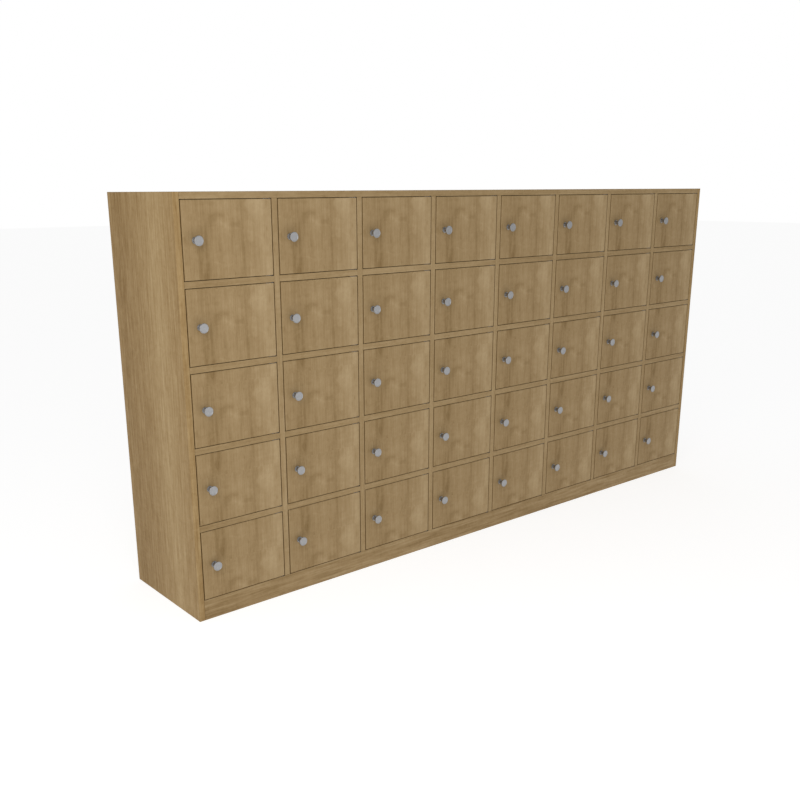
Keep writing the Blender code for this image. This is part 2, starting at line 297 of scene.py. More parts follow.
@dataclass(frozen=True)
class Grid:
    """Where the boards, the bays and the doors are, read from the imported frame."""

    door_gap: float = 2 * MM
    pivot_inset: float = 4 * MM
    knob_setback: float = 36.5 * MM

    @property
    def front(self) -> float:
        """Y of the front of the carcass and of the doors."""
        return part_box("plinth_board")[0].y

    @property
    def board(self) -> float:
        """Thickness of the carcass boards and of the doors."""
        low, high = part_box("left_side_panel")
        return high.x - low.x

    @property
    def bay_height(self) -> float:
        """Clear height of a bay."""
        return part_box("shelf_1")[0].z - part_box("shelf_2")[1].z

    @property
    def column_pitch(self) -> float:
        """Width from one divider to the next."""
        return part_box("divider_2")[0].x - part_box("divider_1")[0].x

    @property
    def bay_width(self) -> float:
        """Clear width of a bay."""
        return self.column_pitch - self.board

    @property
    def first_left(self) -> float:
        """X of the left wall of the first column's bays."""
        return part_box("left_side_panel")[0].x + self.board

    @property
    def door_width(self) -> float:
        """Width of a door panel."""
        return self.bay_width - 2 * self.door_gap

    @property
    def door_height(self) -> float:
        """Height of a door panel."""
        return self.bay_height - 2 * self.door_gap

    @property
    def knob_x(self) -> float:
        """X of a knob's axis from its door's pivot axis."""
        return self.pivot_inset - self.door_width + self.knob_setback

    def pivots(self) -> dict[str, Vector]:
        """The point on each door's pivot axis at the door's mid-height, by body."""
        swings = [joint for joint in frame["joints"] if joint["name"].endswith("_swing")]
        return {joint["child"]: Vector(joint["pos_m"]) for joint in swings}

    def bay_left(self, pivot: Vector) -> float:
        """X of the left wall of the bay whose door has this pivot."""
        return pivot.x + self.pivot_inset + self.door_gap - self.bay_width


GRID = Grid()


# ------------------------------------------------------------------ finishes


@dataclass(frozen=True)
class Band:
    """A soft band along the grain: its middle, its half-width and how pale it is."""

    middle: float
    half_width: float
    tone: float


@dataclass(frozen=True)
class OakFoil:
    """Printed oak foil on board: soft bands, fine streaks and short pores along the grain."""

    name: str
    grain: Grain
    seed: float = 0.0
    tone_shift: float = 0.0
    middle_tone: float = 0.52
    band_depth: float = 0.5
    band_scale: float = 16.0  # each scale counts features in a metre across the grain
    band_length: float = 1.3  # and each length counts them in a metre along it
    streak_depth: float = 0.38
    streak_scale: float = 130.0
    streak_length: float = 8.0
    fibre_depth: float = 0.3
    fibre_scale: float = 560.0
    fibre_length: float = 18.0
    pore_depth: float = 0.16
    pore_scale: float = 1300.0
    pore_length: float = 60.0
    cloud_depth: float = 0.34
    cloud_scale: float = 34.0
    cloud_length: float = 42.0
    edge_shade: float = 0.6  # painted shade: how much darker the faces beside the doors' upright edges are, standing in for the shade in the gaps
    roughness: float = 0.52
    sheen_level: float = 0.07
    relief: float = 0.12 * MM
    deepest: Colour = (0.180, 0.108, 0.040)
    deep: Colour = (0.262, 0.173, 0.078)
    middle: Colour = (0.330, 0.227, 0.112)
    pale: Colour = (0.405, 0.292, 0.157)
    palest: Colour = (0.480, 0.361, 0.210)

    def along_and_across(self, graph: ShaderGraph) -> tuple[Value, Value, Value]:
        """The place along the grain, then the two places across it, in metres."""
        x, y, z = graph.place()
        return (z, x, y) if self.grain is Grain.UPRIGHT else (x, z, y)

    def broad_tone(self, graph: ShaderGraph, along: Value, across: Value, depth: Value) -> Value:
        """The wide, soft bands of a board.

        Args:
            graph: The finish's graph.
            along: The place along the grain.
            across: The place across it.
            depth: The other place across it.

        Returns:
            How much they add to the tone.
        """
        side, deep = across * self.band_scale + self.seed, depth * self.band_scale
        bands = graph.noise(side, deep, along * self.band_length, 2.0, 0.3)
        return (bands - 0.5) * self.band_depth

    def banded(self, place: Value, bands: Sequence[Band]) -> Value:
        """How much some bands add at a place.

        Args:
            place: The place across the grain, in metres.
            bands: The bands.

        Returns:
            The sum of their tones there.
        """
        tones = [
            ((place - band.middle) / band.half_width).bell() * band.tone for band in bands
        ]
        return sum(tones[1:], tones[0])

    def edge_mask(self, graph: ShaderGraph) -> Value:
        """1 on the faces that the doors' edges close against, and 0 elsewhere: where painted shade darkens the
        gaps beside the doors.

        Args:
            graph: The finish's graph.

        Returns:
            The mask.
        """
        x, y, z = graph.place()
        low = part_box("left_side_panel")[0]
        behind = y.above(low.y + 1 * MM)
        inside = 1.0 - x.size().above(-low.x - 1 * MM)
        under = 1.0 - z.above(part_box("top_panel")[0].z)
        return behind * (1.0 - y.above(low.y + GRID.board)) * inside * under

    def material(self) -> bpy.types.Material:
        """Builds the finish.

        Returns:
            The finished material.
        """
        graph = ShaderGraph(self.name)
        along, across, depth = self.along_and_across(graph)
        broad = self.broad_tone(graph, along, across, depth)
        side, deep = across * self.streak_scale + self.seed, depth * self.streak_scale
        streaks = graph.noise(side, deep, along * self.streak_length, 4.0, 0.25) - 0.5
        side, deep = across * self.fibre_scale, depth * self.fibre_scale
        fibres = graph.noise(side, deep, along * self.fibre_length + self.seed) - 0.5
        side, deep = across * self.cloud_scale, depth * self.cloud_scale
        clouds = graph.noise(side, deep, along * self.cloud_length + self.seed, 4.0, 1.2) - 0.5
        side, deep = across * self.pore_scale, depth * self.pore_scale
        pores = graph.noise(side, deep, along * self.pore_length + self.seed)
        pore_marks = ((pores - 0.56) * 8.0).clamped()
        tone = broad + streaks * self.streak_depth + fibres * self.fibre_depth
        tone = tone + clouds * self.cloud_depth - pore_marks * self.pore_depth
        # painted shade: the faces around the doors' gaps are darkened to stand in for the shade that falls in the
        # gaps
        tone = tone - self.edge_mask(graph) * self.edge_shade
        tone = (tone + self.middle_tone + self.tone_shift).clamped()
        height = streaks * 0.4 + fibres - pore_marks * 0.6
        return graph.surface(
            {
                "Base Color": graph.ramp(tone, self.stops()),
                "Roughness": self.roughness - streaks * 0.25 + pore_marks * 0.12,
                "Normal": graph.bump(height, 0.25, self.relief),
                "Specular IOR Level": self.sheen_level,
            }
        )

    def stops(self) -> list[tuple[float, Colour]]:
        """The foil's colours from its darkest tone to its palest."""
        colours = (self.deepest, self.deep, self.middle, self.pale, self.palest)
        return list(zip((0.0, 0.27, 0.5, 0.75, 1.0), colours))


@dataclass(frozen=True)
class Figure:
    """One soft mark in a door's grain: its middle, its half-sizes and how pale it is."""

    across: float
    down: float
    half_width: float
    half_height: float
    tone: float


@dataclass(frozen=True)
class DoorOakFoil(OakFoil):
    """The doors' foil: the same cathedral figure on each column, repeated up the bank."""

    repeat: float = 260.1 * MM
    repeat_top: float = 1208.4 * MM
    # how far in from each upright edge the painted shade of the gaps reaches
    edge_reach: float = 0.8 * MM
    sway_across: float = 18 * MM
    sway_down: float = -26 * MM
    ripple_across: float = 6 * MM
    ripple_down: float = 12 * MM
    bands: tuple[Band, ...] = (
        Band(0.055, 0.039, -0.135),  # dark, behind the knob
        Band(0.131, 0.010, 0.025),
        Band(0.176, 0.020, -0.055),
        Band(0.249, 0.039, 0.155),  # pale, towards the pivots
    )
    figures: tuple[Figure, ...] = (
        # the two pale tongues of the swirl
        Figure(0.127, 0.090, 0.026, 0.015, 0.13),
        Figure(0.112, 0.048, 0.026, 0.018, 0.10),
        # the dark lines round them
        Figure(0.090, 0.080, 0.012, 0.013, -0.17),
        Figure(0.116, 0.070, 0.024, 0.006, -0.12),
        Figure(0.152, 0.106, 0.008, 0.022, -0.14),
        Figure(0.168, 0.090, 0.022, 0.009, -0.12),
        # the long streaks beside and below it
        Figure(0.184, 0.145, 0.008, 0.060, -0.09),
        Figure(0.068, 0.150, 0.008, 0.070, -0.09),
        Figure(0.064, 0.230, 0.010, 0.034, -0.15),
        Figure(0.094, 0.205, 0.016, 0.045, 0.09),
        Figure(0.180, 0.230, 0.008, 0.040, -0.09),
        # the pale patch towards the pivots and the dark line at its edge
        Figure(0.230, 0.030, 0.028, 0.045, 0.17),
        Figure(0.262, 0.035, 0.005, 0.022, -0.17),
        # the shade below the patch, and a pale streak beside it
        Figure(0.215, 0.170, 0.030, 0.045, -0.06),
        Figure(0.262, 0.225, 0.008, 0.040, 0.10),
    )

    def along_and_across(self, graph: ShaderGraph) -> tuple[Value, Value, Value]:
        """The place down the repeat, the place across one door, and the depth.

        Args:
            graph: The finish's graph.

        Returns:
            The three places, in metres.
        """
        x, y, z = graph.place()
        across = (x - (GRID.first_left + GRID.door_gap)).modulo(GRID.column_pitch)
        return (self.repeat_top - z).modulo(self.repeat), across, y

    def broad_tone(self, graph: ShaderGraph, along: Value, across: Value, depth: Value) -> Value:
        """The bands across a door, and the marks of its figure.

        Args:
            graph: The finish's graph.
            along: The place down the repeat.
            across: The place across one door.
            depth: The depth.

        Returns:
            How much they add to the tone.
        """
        sway = graph.noise(across * 22.0, depth * 22.0, along * 14.0, 2.0) - 0.5
        ripple = graph.noise(across * 60.0, depth * 60.0, along * 30.0 + 7.0, 2.0) - 0.5
        sideways = across + sway * self.sway_across + ripple * self.ripple_across
        downwards = along + sway * self.sway_down + ripple * self.ripple_down
        tone = self.banded(sideways, self.bands)
        for figure in self.figures:
            aside = (sideways - figure.across) / figure.half_width
            apart = (downwards - figure.down) / figure.half_height
            tone = tone + aside.bell() * apart.bell() * figure.tone
        return tone + super().broad_tone(graph, along, across, depth) * 0.3

    def edge_mask(self, graph: ShaderGraph) -> Value:
        """1 on the upright edges of the doors, and 0 elsewhere: where painted shade darkens the gaps beside them.

        Args:
            graph: The finish's graph.

        Returns:
            The mask.
        """
        _, across, _ = self.along_and_across(graph)
        half = GRID.door_width / 2
        return (across - half).size().above(half - self.edge_reach)


@dataclass(frozen=True)
class SideOakFoil(OakFoil):
    """The side panels' foil: browner towards the back, with a pale band past the middle."""

    sway: float = 40 * MM
    bands: tuple[Band, ...] = (
        Band(0.054, 0.050, -0.195),  # dark, near the back edge
        Band(0.144, 0.048, -0.088),
        Band(0.272, 0.048, 0.155),  # pale, past the middle
        Band(0.400, 0.022, -0.055),
    )
    deepest: Colour = (0.196, 0.109, 0.032)
    deep: Colour = (0.270, 0.168, 0.066)
    middle: Colour = (0.340, 0.224, 0.099)
    pale: Colour = (0.416, 0.290, 0.141)
    palest: Colour = (0.490, 0.358, 0.193)

    def broad_tone(self, graph: ShaderGraph, along: Value, across: Value, depth: Value) -> Value:
        """The bands from the back edge to the front one.

        Args:
            graph: The finish's graph.
            along: The place along the grain.
            across: The place through the panel's thickness.
            depth: The place from front to back.

        Returns:
            How much they add to the tone.
        """
        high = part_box("left_side_panel")[1]
        sway = graph.noise(across, depth * 6.0, along * 2.0, 2.0) - 0.5
        forward = high.y - depth + sway * self.sway
        tone = self.banded(forward, self.bands)
        return tone + super().broad_tone(graph, along, across, depth) * 0.3


@dataclass(frozen=True)
class SatinMetal:
    """Plated metal with a fine satin texture."""

    name: str
    colour: Colour
    spread: float = 0.12
    metallic: float = 0.85
    roughness: float = 0.36
    cloud_scale: float = 160.0
    grit_scale: float = 2600.0
    grit_relief: float = 0.02 * MM

    def material(self) -> bpy.types.Material:
        """Builds the finish.

        Returns:
            The finished material.
        """
        graph = ShaderGraph(self.name)
        x, y, z = graph.place()
        cloud = graph.noise(x * self.cloud_scale, y * self.cloud_scale, z * self.cloud_scale)
        grit = graph.noise(x * self.grit_scale, y * self.grit_scale, z * self.grit_scale, 1.0)
        dull = tuple(part * (1 - self.spread) for part in self.colour)
        bright = tuple(part * (1 + self.spread) for part in self.colour)
        tone = ((cloud - 0.5) * 1.6 + (grit - 0.5) * 0.5 + 0.5).clamped()
        return graph.surface(
            {
                "Base Color": graph.ramp(tone, [(0.0, dull), (1.0, bright)]),
                "Metallic": self.metallic,
                "Roughness": (cloud - 0.5) * 0.3 + self.roughness,
                "Normal": graph.bump(grit, 0.12, self.grit_relief),
            }
        )


@dataclass(frozen=True)
class MouldedPlastic:
    """Matt moulded plastic with a spark-eroded grain."""

    name: str
    colour: Colour
    roughness: float = 0.5
    grain_scale: float = 1400.0
    grain_relief: float = 0.04 * MM

    def material(self) -> bpy.types.Material:
        """Builds the finish.

        Returns:
            The finished material.
        """
        graph = ShaderGraph(self.name)
        x, y, z = graph.place()
        grain = graph.noise(x * self.grain_scale, y * self.grain_scale, z * self.grain_scale)
        pale = tuple(part * 1.6 for part in self.colour)
        return graph.surface(
            {
                "Base Color": graph.ramp(grain, [(0.3, self.colour), (0.8, pale)]),
                "Roughness": (grain - 0.5) * 0.3 + self.roughness,
                "Normal": graph.bump(grain, 0.2, self.grain_relief),
            }
        )


# ------------------------------------------------------------------ meshes


def mesh_of(shape: bmesh.types.BMesh, name: str) -> bpy.types.Mesh:
    """Ends a bmesh as a mesh.

    Args:
        shape: The bmesh, which is freed.
        name: The mesh's name.

    Returns:
        The new mesh.
    """
    mesh = bpy.data.meshes.new(name)
    shape.to_mesh(mesh)
    shape.free()
    return mesh


def bevel(shape: bmesh.types.BMesh, edges: list, radius: float, segments: int) -> None:
    """Rounds some edges of a bmesh.

    Args:
        shape: The bmesh that holds the edges.
        edges: The edges to round.
        radius: The rounding.
        segments: Steps in each rounded edge.
    """
    bmesh.ops.bevel(
        shape,
        geom=edges,
        offset=radius,
        offset_type="OFFSET",
        segments=segments,
        profile=0.5,
        affect="EDGES",
        clamp_overlap=True,
    )


def rounded_box(low: Point, high: Point, radius: float, segments: int = 2) -> bmesh.types.BMesh:
    """A box with all its edges rounded.

    Args:
        low: Its lowest corner.
        high: Its highest corner.
        radius: The rounding, or 0 for a sharp box.
        segments: Steps in each rounded edge.

    Returns:
        The box as a bmesh.
    """
    low, high = Vector(low), Vector(high)
    shape = bmesh.new()
    placing = Matrix.Translation((low + high) / 2) @ Matrix.Diagonal((*(high - low), 1))
    bmesh.ops.create_cube(shape, size=1, matrix=placing)
    if radius > 0:
        bevel(shape, shape.edges[:], radius, segments)
    return shape


def turned(profile: Outline, centre: Point, sides: int, name: str) -> bpy.types.Mesh:
    """A solid turned around a line that points forwards, along -Y.

    Args:
        profile: Radius and height in pairs, from the axis back to the axis. Height counts
            forwards from the centre.
        centre: A point on the line.
        sides: Steps around the line.
        name: The mesh's name.

    Returns:
        The closed mesh, with smooth shading between its crisp edges.
    """
    shape = bmesh.new()
    corners = [shape.verts.new((radius, 0, height)) for radius, height in profile]
    edges = [shape.edges.new(pair) for pair in zip(corners, corners[1:])]
    bmesh.ops.spin(
        shape,
        geom=corners + edges,
        cent=(0, 0, 0),
        axis=(0, 0, 1),
        angle=math.tau,
        steps=sides,
        use_merge=True,
    )
    bmesh.ops.remove_doubles(shape, verts=shape.verts, dist=MERGE / 10)
    bmesh.ops.recalc_face_normals(shape, faces=shape.faces)
    shape.transform(Matrix.Translation(centre) @ Matrix.Rotation(math.radians(90), 4, "X"))
    mesh = mesh_of(shape, name)
    mesh.shade_smooth()
    mesh.set_sharp_from_angle(angle=CRISP_TURN)
    return mesh


def arc(middle: tuple[float, float], radius: float, start: float, end: float, steps: int) -> Outline:
    """Points along an arc, with its angles in degrees.

    Args:
        middle: The arc's centre.
        radius: Its radius.
        start: The first angle.
        end: The last angle.
        steps: How many steps lie between them.

    Returns:
        The points in order.
    """
    angles = [math.radians(start + (end - start) * i / steps) for i in range(steps + 1)]
    return [(middle[0] + radius * math.cos(a), middle[1] + radius * math.sin(a)) for a in angles]


def plate(outline: Outline, front: float, back: float, radius: float) -> bmesh.types.BMesh:
    """A flat plate from an outline of X and Z, between two values of Y.

    Args:
        outline: Its corners, as pairs of X and Z.
        front: Y of its front.
        back: Y of its back.
        radius: The rounding of its rims, or 0 for sharp ones.

    Returns:
        The plate as a bmesh.
    """
    shape = bmesh.new()
    face = shape.faces.new([shape.verts.new((x, front, z)) for x, z in outline])
    made = bmesh.ops.extrude_face_region(shape, geom=[face])
    moved = [item for item in made["geom"] if isinstance(item, bmesh.types.BMVert)]
    bmesh.ops.translate(shape, verts=moved, vec=(0, back - front, 0))
    bmesh.ops.recalc_face_normals(shape, faces=shape.faces)
    if radius > 0:
        rims = [e for e in shape.edges if abs(e.verts[0].co.y - e.verts[1].co.y) < MERGE]
        bevel(shape, rims, radius, 1)
    return shape


def shown(name: str, mesh: bpy.types.Mesh) -> bpy.types.Object:
    """Links a mesh to the scene as an object at the origin.

    Args:
        name: The object's name.
        mesh: Its mesh.

    Returns:
        The new object.
    """
    piece = bpy.data.objects.new(name, mesh)
    bpy.context.scene.collection.objects.link(piece)
    return piece


def evaluated(piece: bpy.types.Object, name: str) -> bpy.types.Mesh:
    """The plain mesh that an object's modifiers make. The object is removed.

    Args:
        piece: The object with the modifiers.
        name: The new mesh's name.

    Returns:
        The plain mesh.
    """
    bpy.context.view_layer.update()
    depsgraph = bpy.context.evaluated_depsgraph_get()
    mesh = bpy.data.meshes.new_from_object(piece.evaluated_get(depsgraph))
    mesh.name = name
    bpy.data.objects.remove(piece)
    return mesh


def combined(
    base: bpy.types.Mesh,
    added: Iterable[bpy.types.Mesh] = (),
    cut: Iterable[bpy.types.Mesh] = (),
) -> bpy.types.Mesh:
    """Joins solids to a base, then cuts others out of it.

    Args:
        base: The closed mesh to work on.
        added: Closed meshes that become one solid with it.
        cut: Closed meshes that are taken away.

    Returns:
        The new mesh, under the base's name.
    """
    piece = shown("work", base)
    tools = []
    for operation, meshes in (("UNION", added), ("DIFFERENCE", cut)):
        for mesh in meshes:
            tool = shown("tool", mesh)
            modifier = piece.modifiers.new(operation, "BOOLEAN")
            modifier.operation = operation
            modifier.solver = "EXACT"
            modifier.object = tool
            tools.append(tool)
    mesh = evaluated(piece, base.name)
    for tool in tools:
        bpy.data.objects.remove(tool)
    mesh.materials.clear()
    return mesh


def joined(meshes: Iterable[bpy.types.Mesh], name: str) -> bpy.types.Mesh:
    """Several meshes as one, each still its own closed shell.

    Args:
        meshes: Closed meshes.
        name: The new mesh's name.

    Returns:
        One mesh that holds every shell.
    """
    shape = bmesh.new()
    for mesh in meshes:
        shape.from_mesh(mesh)
    return mesh_of(shape, name)


def finished(
    name: str,
    mesh: bpy.types.Mesh,
    material: bpy.types.Material,
    slot: Slot,
    body: str,
    nodes: Sequence[str] = (),
) -> bpy.types.Object:
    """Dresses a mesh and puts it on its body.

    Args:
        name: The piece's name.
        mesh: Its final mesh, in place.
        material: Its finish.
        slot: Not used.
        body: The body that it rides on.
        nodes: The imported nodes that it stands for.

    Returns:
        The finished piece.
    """
    mesh.materials.clear()
    mesh.materials.append(material)
    piece = shown(name, mesh)
    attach(piece, body)
    if nodes:
        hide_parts(*nodes)
    LOG.info("%s: %d faces on %s", name, len(mesh.polygons), body)
    return piece


# ------------------------------------------------------------------ repeated fittings


class FittingGraph(NodeGraph):
    """A geometry tree that makes one fitting and sets it on every point."""

    def __init__(self, name: str, sizes: Iterable[str]) -> None:
        """Makes the tree with its named inputs.

        Args:
            name: The tree's name.
            sizes: The names of its sizes.
        """
        group = bpy.data.node_groups.new(name, "GeometryNodeTree")
        super().__init__(group)
        interface = group.interface
        interface.new_socket("Geometry", in_out="OUTPUT", socket_type="NodeSocketGeometry")
        interface.new_socket("Geometry", in_out="INPUT", socket_type="NodeSocketGeometry")
        for size in sizes:
            interface.new_socket(size, in_out="INPUT", socket_type="NodeSocketFloat")
        interface.new_socket("Material", in_out="INPUT", socket_type="NodeSocketMaterial")
        self.source = self.node("NodeGroupInput")

    def size(self, name: str) -> Value:
        """One of the named inputs."""
        return Value(self, self.source.outputs[name])

    def vector(self, x: object, y: object, z: object) -> bpy.types.NodeSocket:
        """A vector from three numbers."""
        return self.node("ShaderNodeCombineXYZ", {}, {0: x, 1: y, 2: z}).outputs[0]

    def box(self, x: object, y: object, z: object) -> bpy.types.NodeSocket:
        """A box around the origin."""
        return self.node("GeometryNodeMeshCube", {}, {"Size": self.vector(x, y, z)}).outputs[0]

    def rod(self, radius: Value, height: Value, sides: int) -> bpy.types.NodeSocket:
        """A cylinder around the origin, along Z.

        Args:
            radius: Its radius.
            height: Its height.
            sides: Steps around it.

        Returns:
            The cylinder.
        """
        wanted = {"Vertices": sides, "Radius": radius, "Depth": height}
        return self.node("GeometryNodeMeshCylinder", {}, wanted).outputs[0]

    def moved(
        self, shape: bpy.types.NodeSocket, x: object, y: object, z: object
    ) -> bpy.types.NodeSocket:
        """A shape set off from where it is.

        Args:
            shape: The shape.
            x: How far along X.
            y: How far along Y.
            z: How far along Z.

        Returns:
            The moved shape.
        """
        wanted = {"Geometry": shape, "Translation": self.vector(x, y, z)}
        return self.node("GeometryNodeTransform", {}, wanted).outputs[0]

    def cut(
        self, shape: bpy.types.NodeSocket, *tools: bpy.types.NodeSocket
    ) -> bpy.types.NodeSocket:
        """A shape less some others.

        Args:
            shape: The shape to cut.
            tools: The shapes to take away.

        Returns:
            What is left.
        """
        settings = {"operation": "DIFFERENCE", "solver": "EXACT"}
        wanted = {"Mesh 1": shape, "Mesh 2": list(tools)}
        return self.node("GeometryNodeMeshBoolean", settings, wanted).outputs[0]

    def together(self, *shapes: bpy.types.NodeSocket) -> bpy.types.NodeSocket:
        """Several shapes as one geometry."""
        return self.node("GeometryNodeJoinGeometry", {}, {"Geometry": list(shapes)}).outputs[0]

    def set_on_points(self, shape: bpy.types.NodeSocket) -> None:
        """Ends the tree: the fitting on each point, its Z along the point's facing.

        Args:
            shape: The fitting around the origin.
        """
        facing = self.node(
            "GeometryNodeInputNamedAttribute", {"data_type": "FLOAT_VECTOR"}, {"Name": "facing"}
        )
        turn = self.node(
            "FunctionNodeAlignRotationToVector", {"axis": "Z"}, {"Vector": facing.outputs[0]}
        )
        instances = self.node(
            "GeometryNodeInstanceOnPoints",
            {},
            {
                "Points": self.source.outputs["Geometry"],
                "Instance": shape,
                "Rotation": turn.outputs[0],
            },
        )
        real = self.node("GeometryNodeRealizeInstances", {}, {"Geometry": instances.outputs[0]})
        dressed = self.node(
            "GeometryNodeSetMaterial",
            {},
            {"Geometry": real.outputs[0], "Material": self.source.outputs["Material"]},
        )
        self.node("NodeGroupOutput", {}, {0: dressed.outputs[0]})


@dataclass(frozen=True)
class Fitting:
    """A small part that repeats. Its fields are its sizes, in metres."""

    def shape(self, graph: FittingGraph) -> bpy.types.NodeSocket:
        """The fitting around the origin, with its foot at Z 0."""
        raise NotImplementedError

    def title(self, field_name: str) -> str:
        """The tree's input for one of the sizes."""
        return field_name.replace("_", " ").title()

    def mesh(
        self, name: str, places: Sequence[tuple[Point, Point]], material: bpy.types.Material
    ) -> bpy.types.Mesh:
        """The plain mesh of every copy.

        Args:
            name: The mesh's name.
            places: Where each copy's foot is, and the way that it faces.
            material: Its finish.

        Returns:
            One mesh that holds all the copies.
        """
        sizes = {self.title(field.name): getattr(self, field.name) for field in fields(self)}
        graph = FittingGraph(name, sizes)
        graph.set_on_points(self.shape(graph))
        points = bpy.data.meshes.new(name)
        points.from_pydata([place for place, _ in places], [], [])
        facing = points.attributes.new("facing", "FLOAT_VECTOR", "POINT")
        facing.data.foreach_set("vector", [part for _, way in places for part in way])
        piece = shown(name, points)
        modifier = piece.modifiers.new(name, "NODES")
        modifier.node_group = graph.tree
        for item in graph.tree.interface.items_tree:
            if item.in_out == "INPUT" and item.name in sizes:
                modifier[item.identifier] = sizes[item.name]
            elif item.in_out == "INPUT" and item.name == "Material":
                modifier[item.identifier] = material
        return evaluated(piece, name)


@dataclass(frozen=True)
class PanHeadScrew(Fitting):
    """The head of a cross-recess screw."""

    head_radius: float = 2.2 * MM
    head_height: float = 0.8 * MM
    recess_length: float = 2.4 * MM
    recess_width: float = 0.6 * MM

    def shape(self, graph: FittingGraph) -> bpy.types.NodeSocket:
        """A disc with a cross cut in its face.

        Args:
            graph: The fitting's graph.

        Returns:
            The screw head.
        """
        height = graph.size("Head Height")
        long, wide = graph.size("Recess Length"), graph.size("Recess Width")
        head = graph.moved(graph.rod(graph.size("Head Radius"), height, 16), 0.0, 0.0, height * 0.5)
        bars = [graph.box(long, wide, height), graph.box(wide, long, height * 0.98)]
        return graph.cut(head, *[graph.moved(bar, 0.0, 0.0, height) for bar in bars])


@dataclass(frozen=True)
class PivotBush(Fitting):
    """The flange of the plastic bush that lines a pivot bore."""

    outer_radius: float = 5.5 * MM
    inner_radius: float = 2.4 * MM
    flange_height: float = 0.7 * MM

    def shape(self, graph: FittingGraph) -> bpy.types.NodeSocket:
        """A flat ring.

        Args:
            graph: The fitting's graph.

        Returns:
            The flange.
        """
        height = graph.size("Flange Height")
        ring = graph.cut(
            graph.rod(graph.size("Outer Radius"), height, 20),
            graph.rod(graph.size("Inner Radius"), height * 2.0, 16),
        )
        return graph.moved(ring, 0.0, 0.0, height * 0.5)


@dataclass(frozen=True)
class CamConnector(Fitting):
    """The round cam that draws two boards together, with its driver slot."""

    disc_radius: float = 7.5 * MM
    disc_height: float = 0.5 * MM
    slot_length: float = 9.0 * MM
    slot_width: float = 1.4 * MM

    def shape(self, graph: FittingGraph) -> bpy.types.NodeSocket:
        """A disc with one slot across and a shorter one.

        Args:
            graph: The fitting's graph.

        Returns:
            The connector.
        """
        height = graph.size("Disc Height")
        long, wide = graph.size("Slot Length"), graph.size("Slot Width")
        disc = graph.moved(graph.rod(graph.size("Disc Radius"), height, 24), 0.0, 0.0, height * 0.5)
        bars = [graph.box(long, wide, height), graph.box(wide, long * 0.5, height * 0.98)]
        return graph.cut(disc, *[graph.moved(bar, 0.0, 0.0, height) for bar in bars])


@dataclass(frozen=True)
class DoorStop(Fitting):
    """A block under the bay's ceiling, with a soft bumper that the door closes on."""

    block_length: float = 14.0 * MM
    block_depth: float = 9.0 * MM
    block_height: float = 10.0 * MM
    bumper_radius: float = 3.0 * MM

    def shape(self, graph: FittingGraph) -> bpy.types.NodeSocket:
        """A block with a dome towards the door.

        Args:
            graph: The fitting's graph.

        Returns:
            The block with its bumper.
        """
        long, deep, high = (graph.size(f"Block {part}") for part in ("Length", "Depth", "Height"))
        block = graph.moved(graph.box(long, deep, high), 0.0, 0.0, high * 0.5)
        sphere = graph.node(
            "GeometryNodeMeshUVSphere",
            {},
            {"Segments": 12, "Rings": 8, "Radius": graph.size("Bumper Radius")},
        ).outputs[0]
        shift = deep * 0.5 - graph.size("Bumper Radius") * 0.5
        return graph.together(block, graph.moved(sphere, 0.0, shift, high * 0.5))


@dataclass(frozen=True)
class StrikePlate(Fitting):
    """The steel plate around the pocket that a lock's cam turns into."""

    plate_length: float = 66.0 * MM
    plate_width: float = 13.0 * MM
    plate_height: float = 0.7 * MM
    slot_length: float = 47.0 * MM
    slot_width: float = 6.0 * MM

    def shape(self, graph: FittingGraph) -> bpy.types.NodeSocket:
        """A plate with one long slot and a hole for a screw at each end.

        Args:
            graph: The fitting's graph.

        Returns:
            The plate.
        """
        long, wide, high = (graph.size(f"Plate {part}") for part in ("Length", "Width", "Height"))
        slot_long = graph.size("Slot Length")
        slot = graph.box(slot_long, graph.size("Slot Width"), high * 3.0)
        holes = [
            graph.moved(graph.rod(wide * 0.14, high * 3.0, 12), end * (long + slot_long), 0.0, 0.0)
            for end in (0.25, -0.25)
        ]
        blank = graph.box(long, wide, high)
        return graph.moved(graph.cut(blank, slot, *holes), 0.0, 0.0, high * 0.5)


# ------------------------------------------------------------------ sub-assemblies


@dataclass
class BackScrews:
    """The screws that hold the back panel, each sunk in its own recess."""

    inset: float = 10.0 * MM
    spacing: float = 150.0 * MM
    recess_radius: float = 3.5 * MM
    recess_depth: float = 0.9 * MM
    recess_sides: int = 20
    head: PanHeadScrew = PanHeadScrew(3.1 * MM, 0.6 * MM, 3.4 * MM, 0.7 * MM)

    def spots(self) -> Outline:
        """X and Z of each screw, all round the panel near its edges.

        Returns:
            The pairs of X and Z.
        """
        low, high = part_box("back_panel")
        left, right = low.x + self.inset, high.x - self.inset
        bottom, top = low.z + self.inset, high.z - self.inset
        across = round((right - left) / self.spacing)
        up = round((top - bottom) / self.spacing)
        columns = [left + (right - left) * i / across for i in range(across + 1)]
        rows = [bottom + (top - bottom) * i / up for i in range(1, up)]
        return [(x, z) for x in columns for z in (bottom, top)] + [
            (x, z) for z in rows for x in (left, right)
        ]

    def places(self) -> list[tuple[Point, Point]]:
        """The foot of each head, facing backwards.

        Returns:
            Each place and the way that it faces.
        """
        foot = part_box("back_panel")[1].y - self.recess_depth
        return [((x, foot, z), (0, 1, 0)) for x, z in self.spots()]

    def drills(self) -> bpy.types.Mesh:
        """The recesses, as one mesh of rods that reach past the panel's back.

        Returns:
            The mesh to cut with.
        """
        depth, radius = self.recess_depth, self.recess_radius
        profile = [(0, depth), (radius, depth), (radius, -depth), (0, -depth)]
        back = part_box("back_panel")[1].y
        sides = self.recess_sides
        rods = [turned(profile, (x, back, z), sides, "recess") for x, z in self.spots()]
        return joined(rods, "recesses")


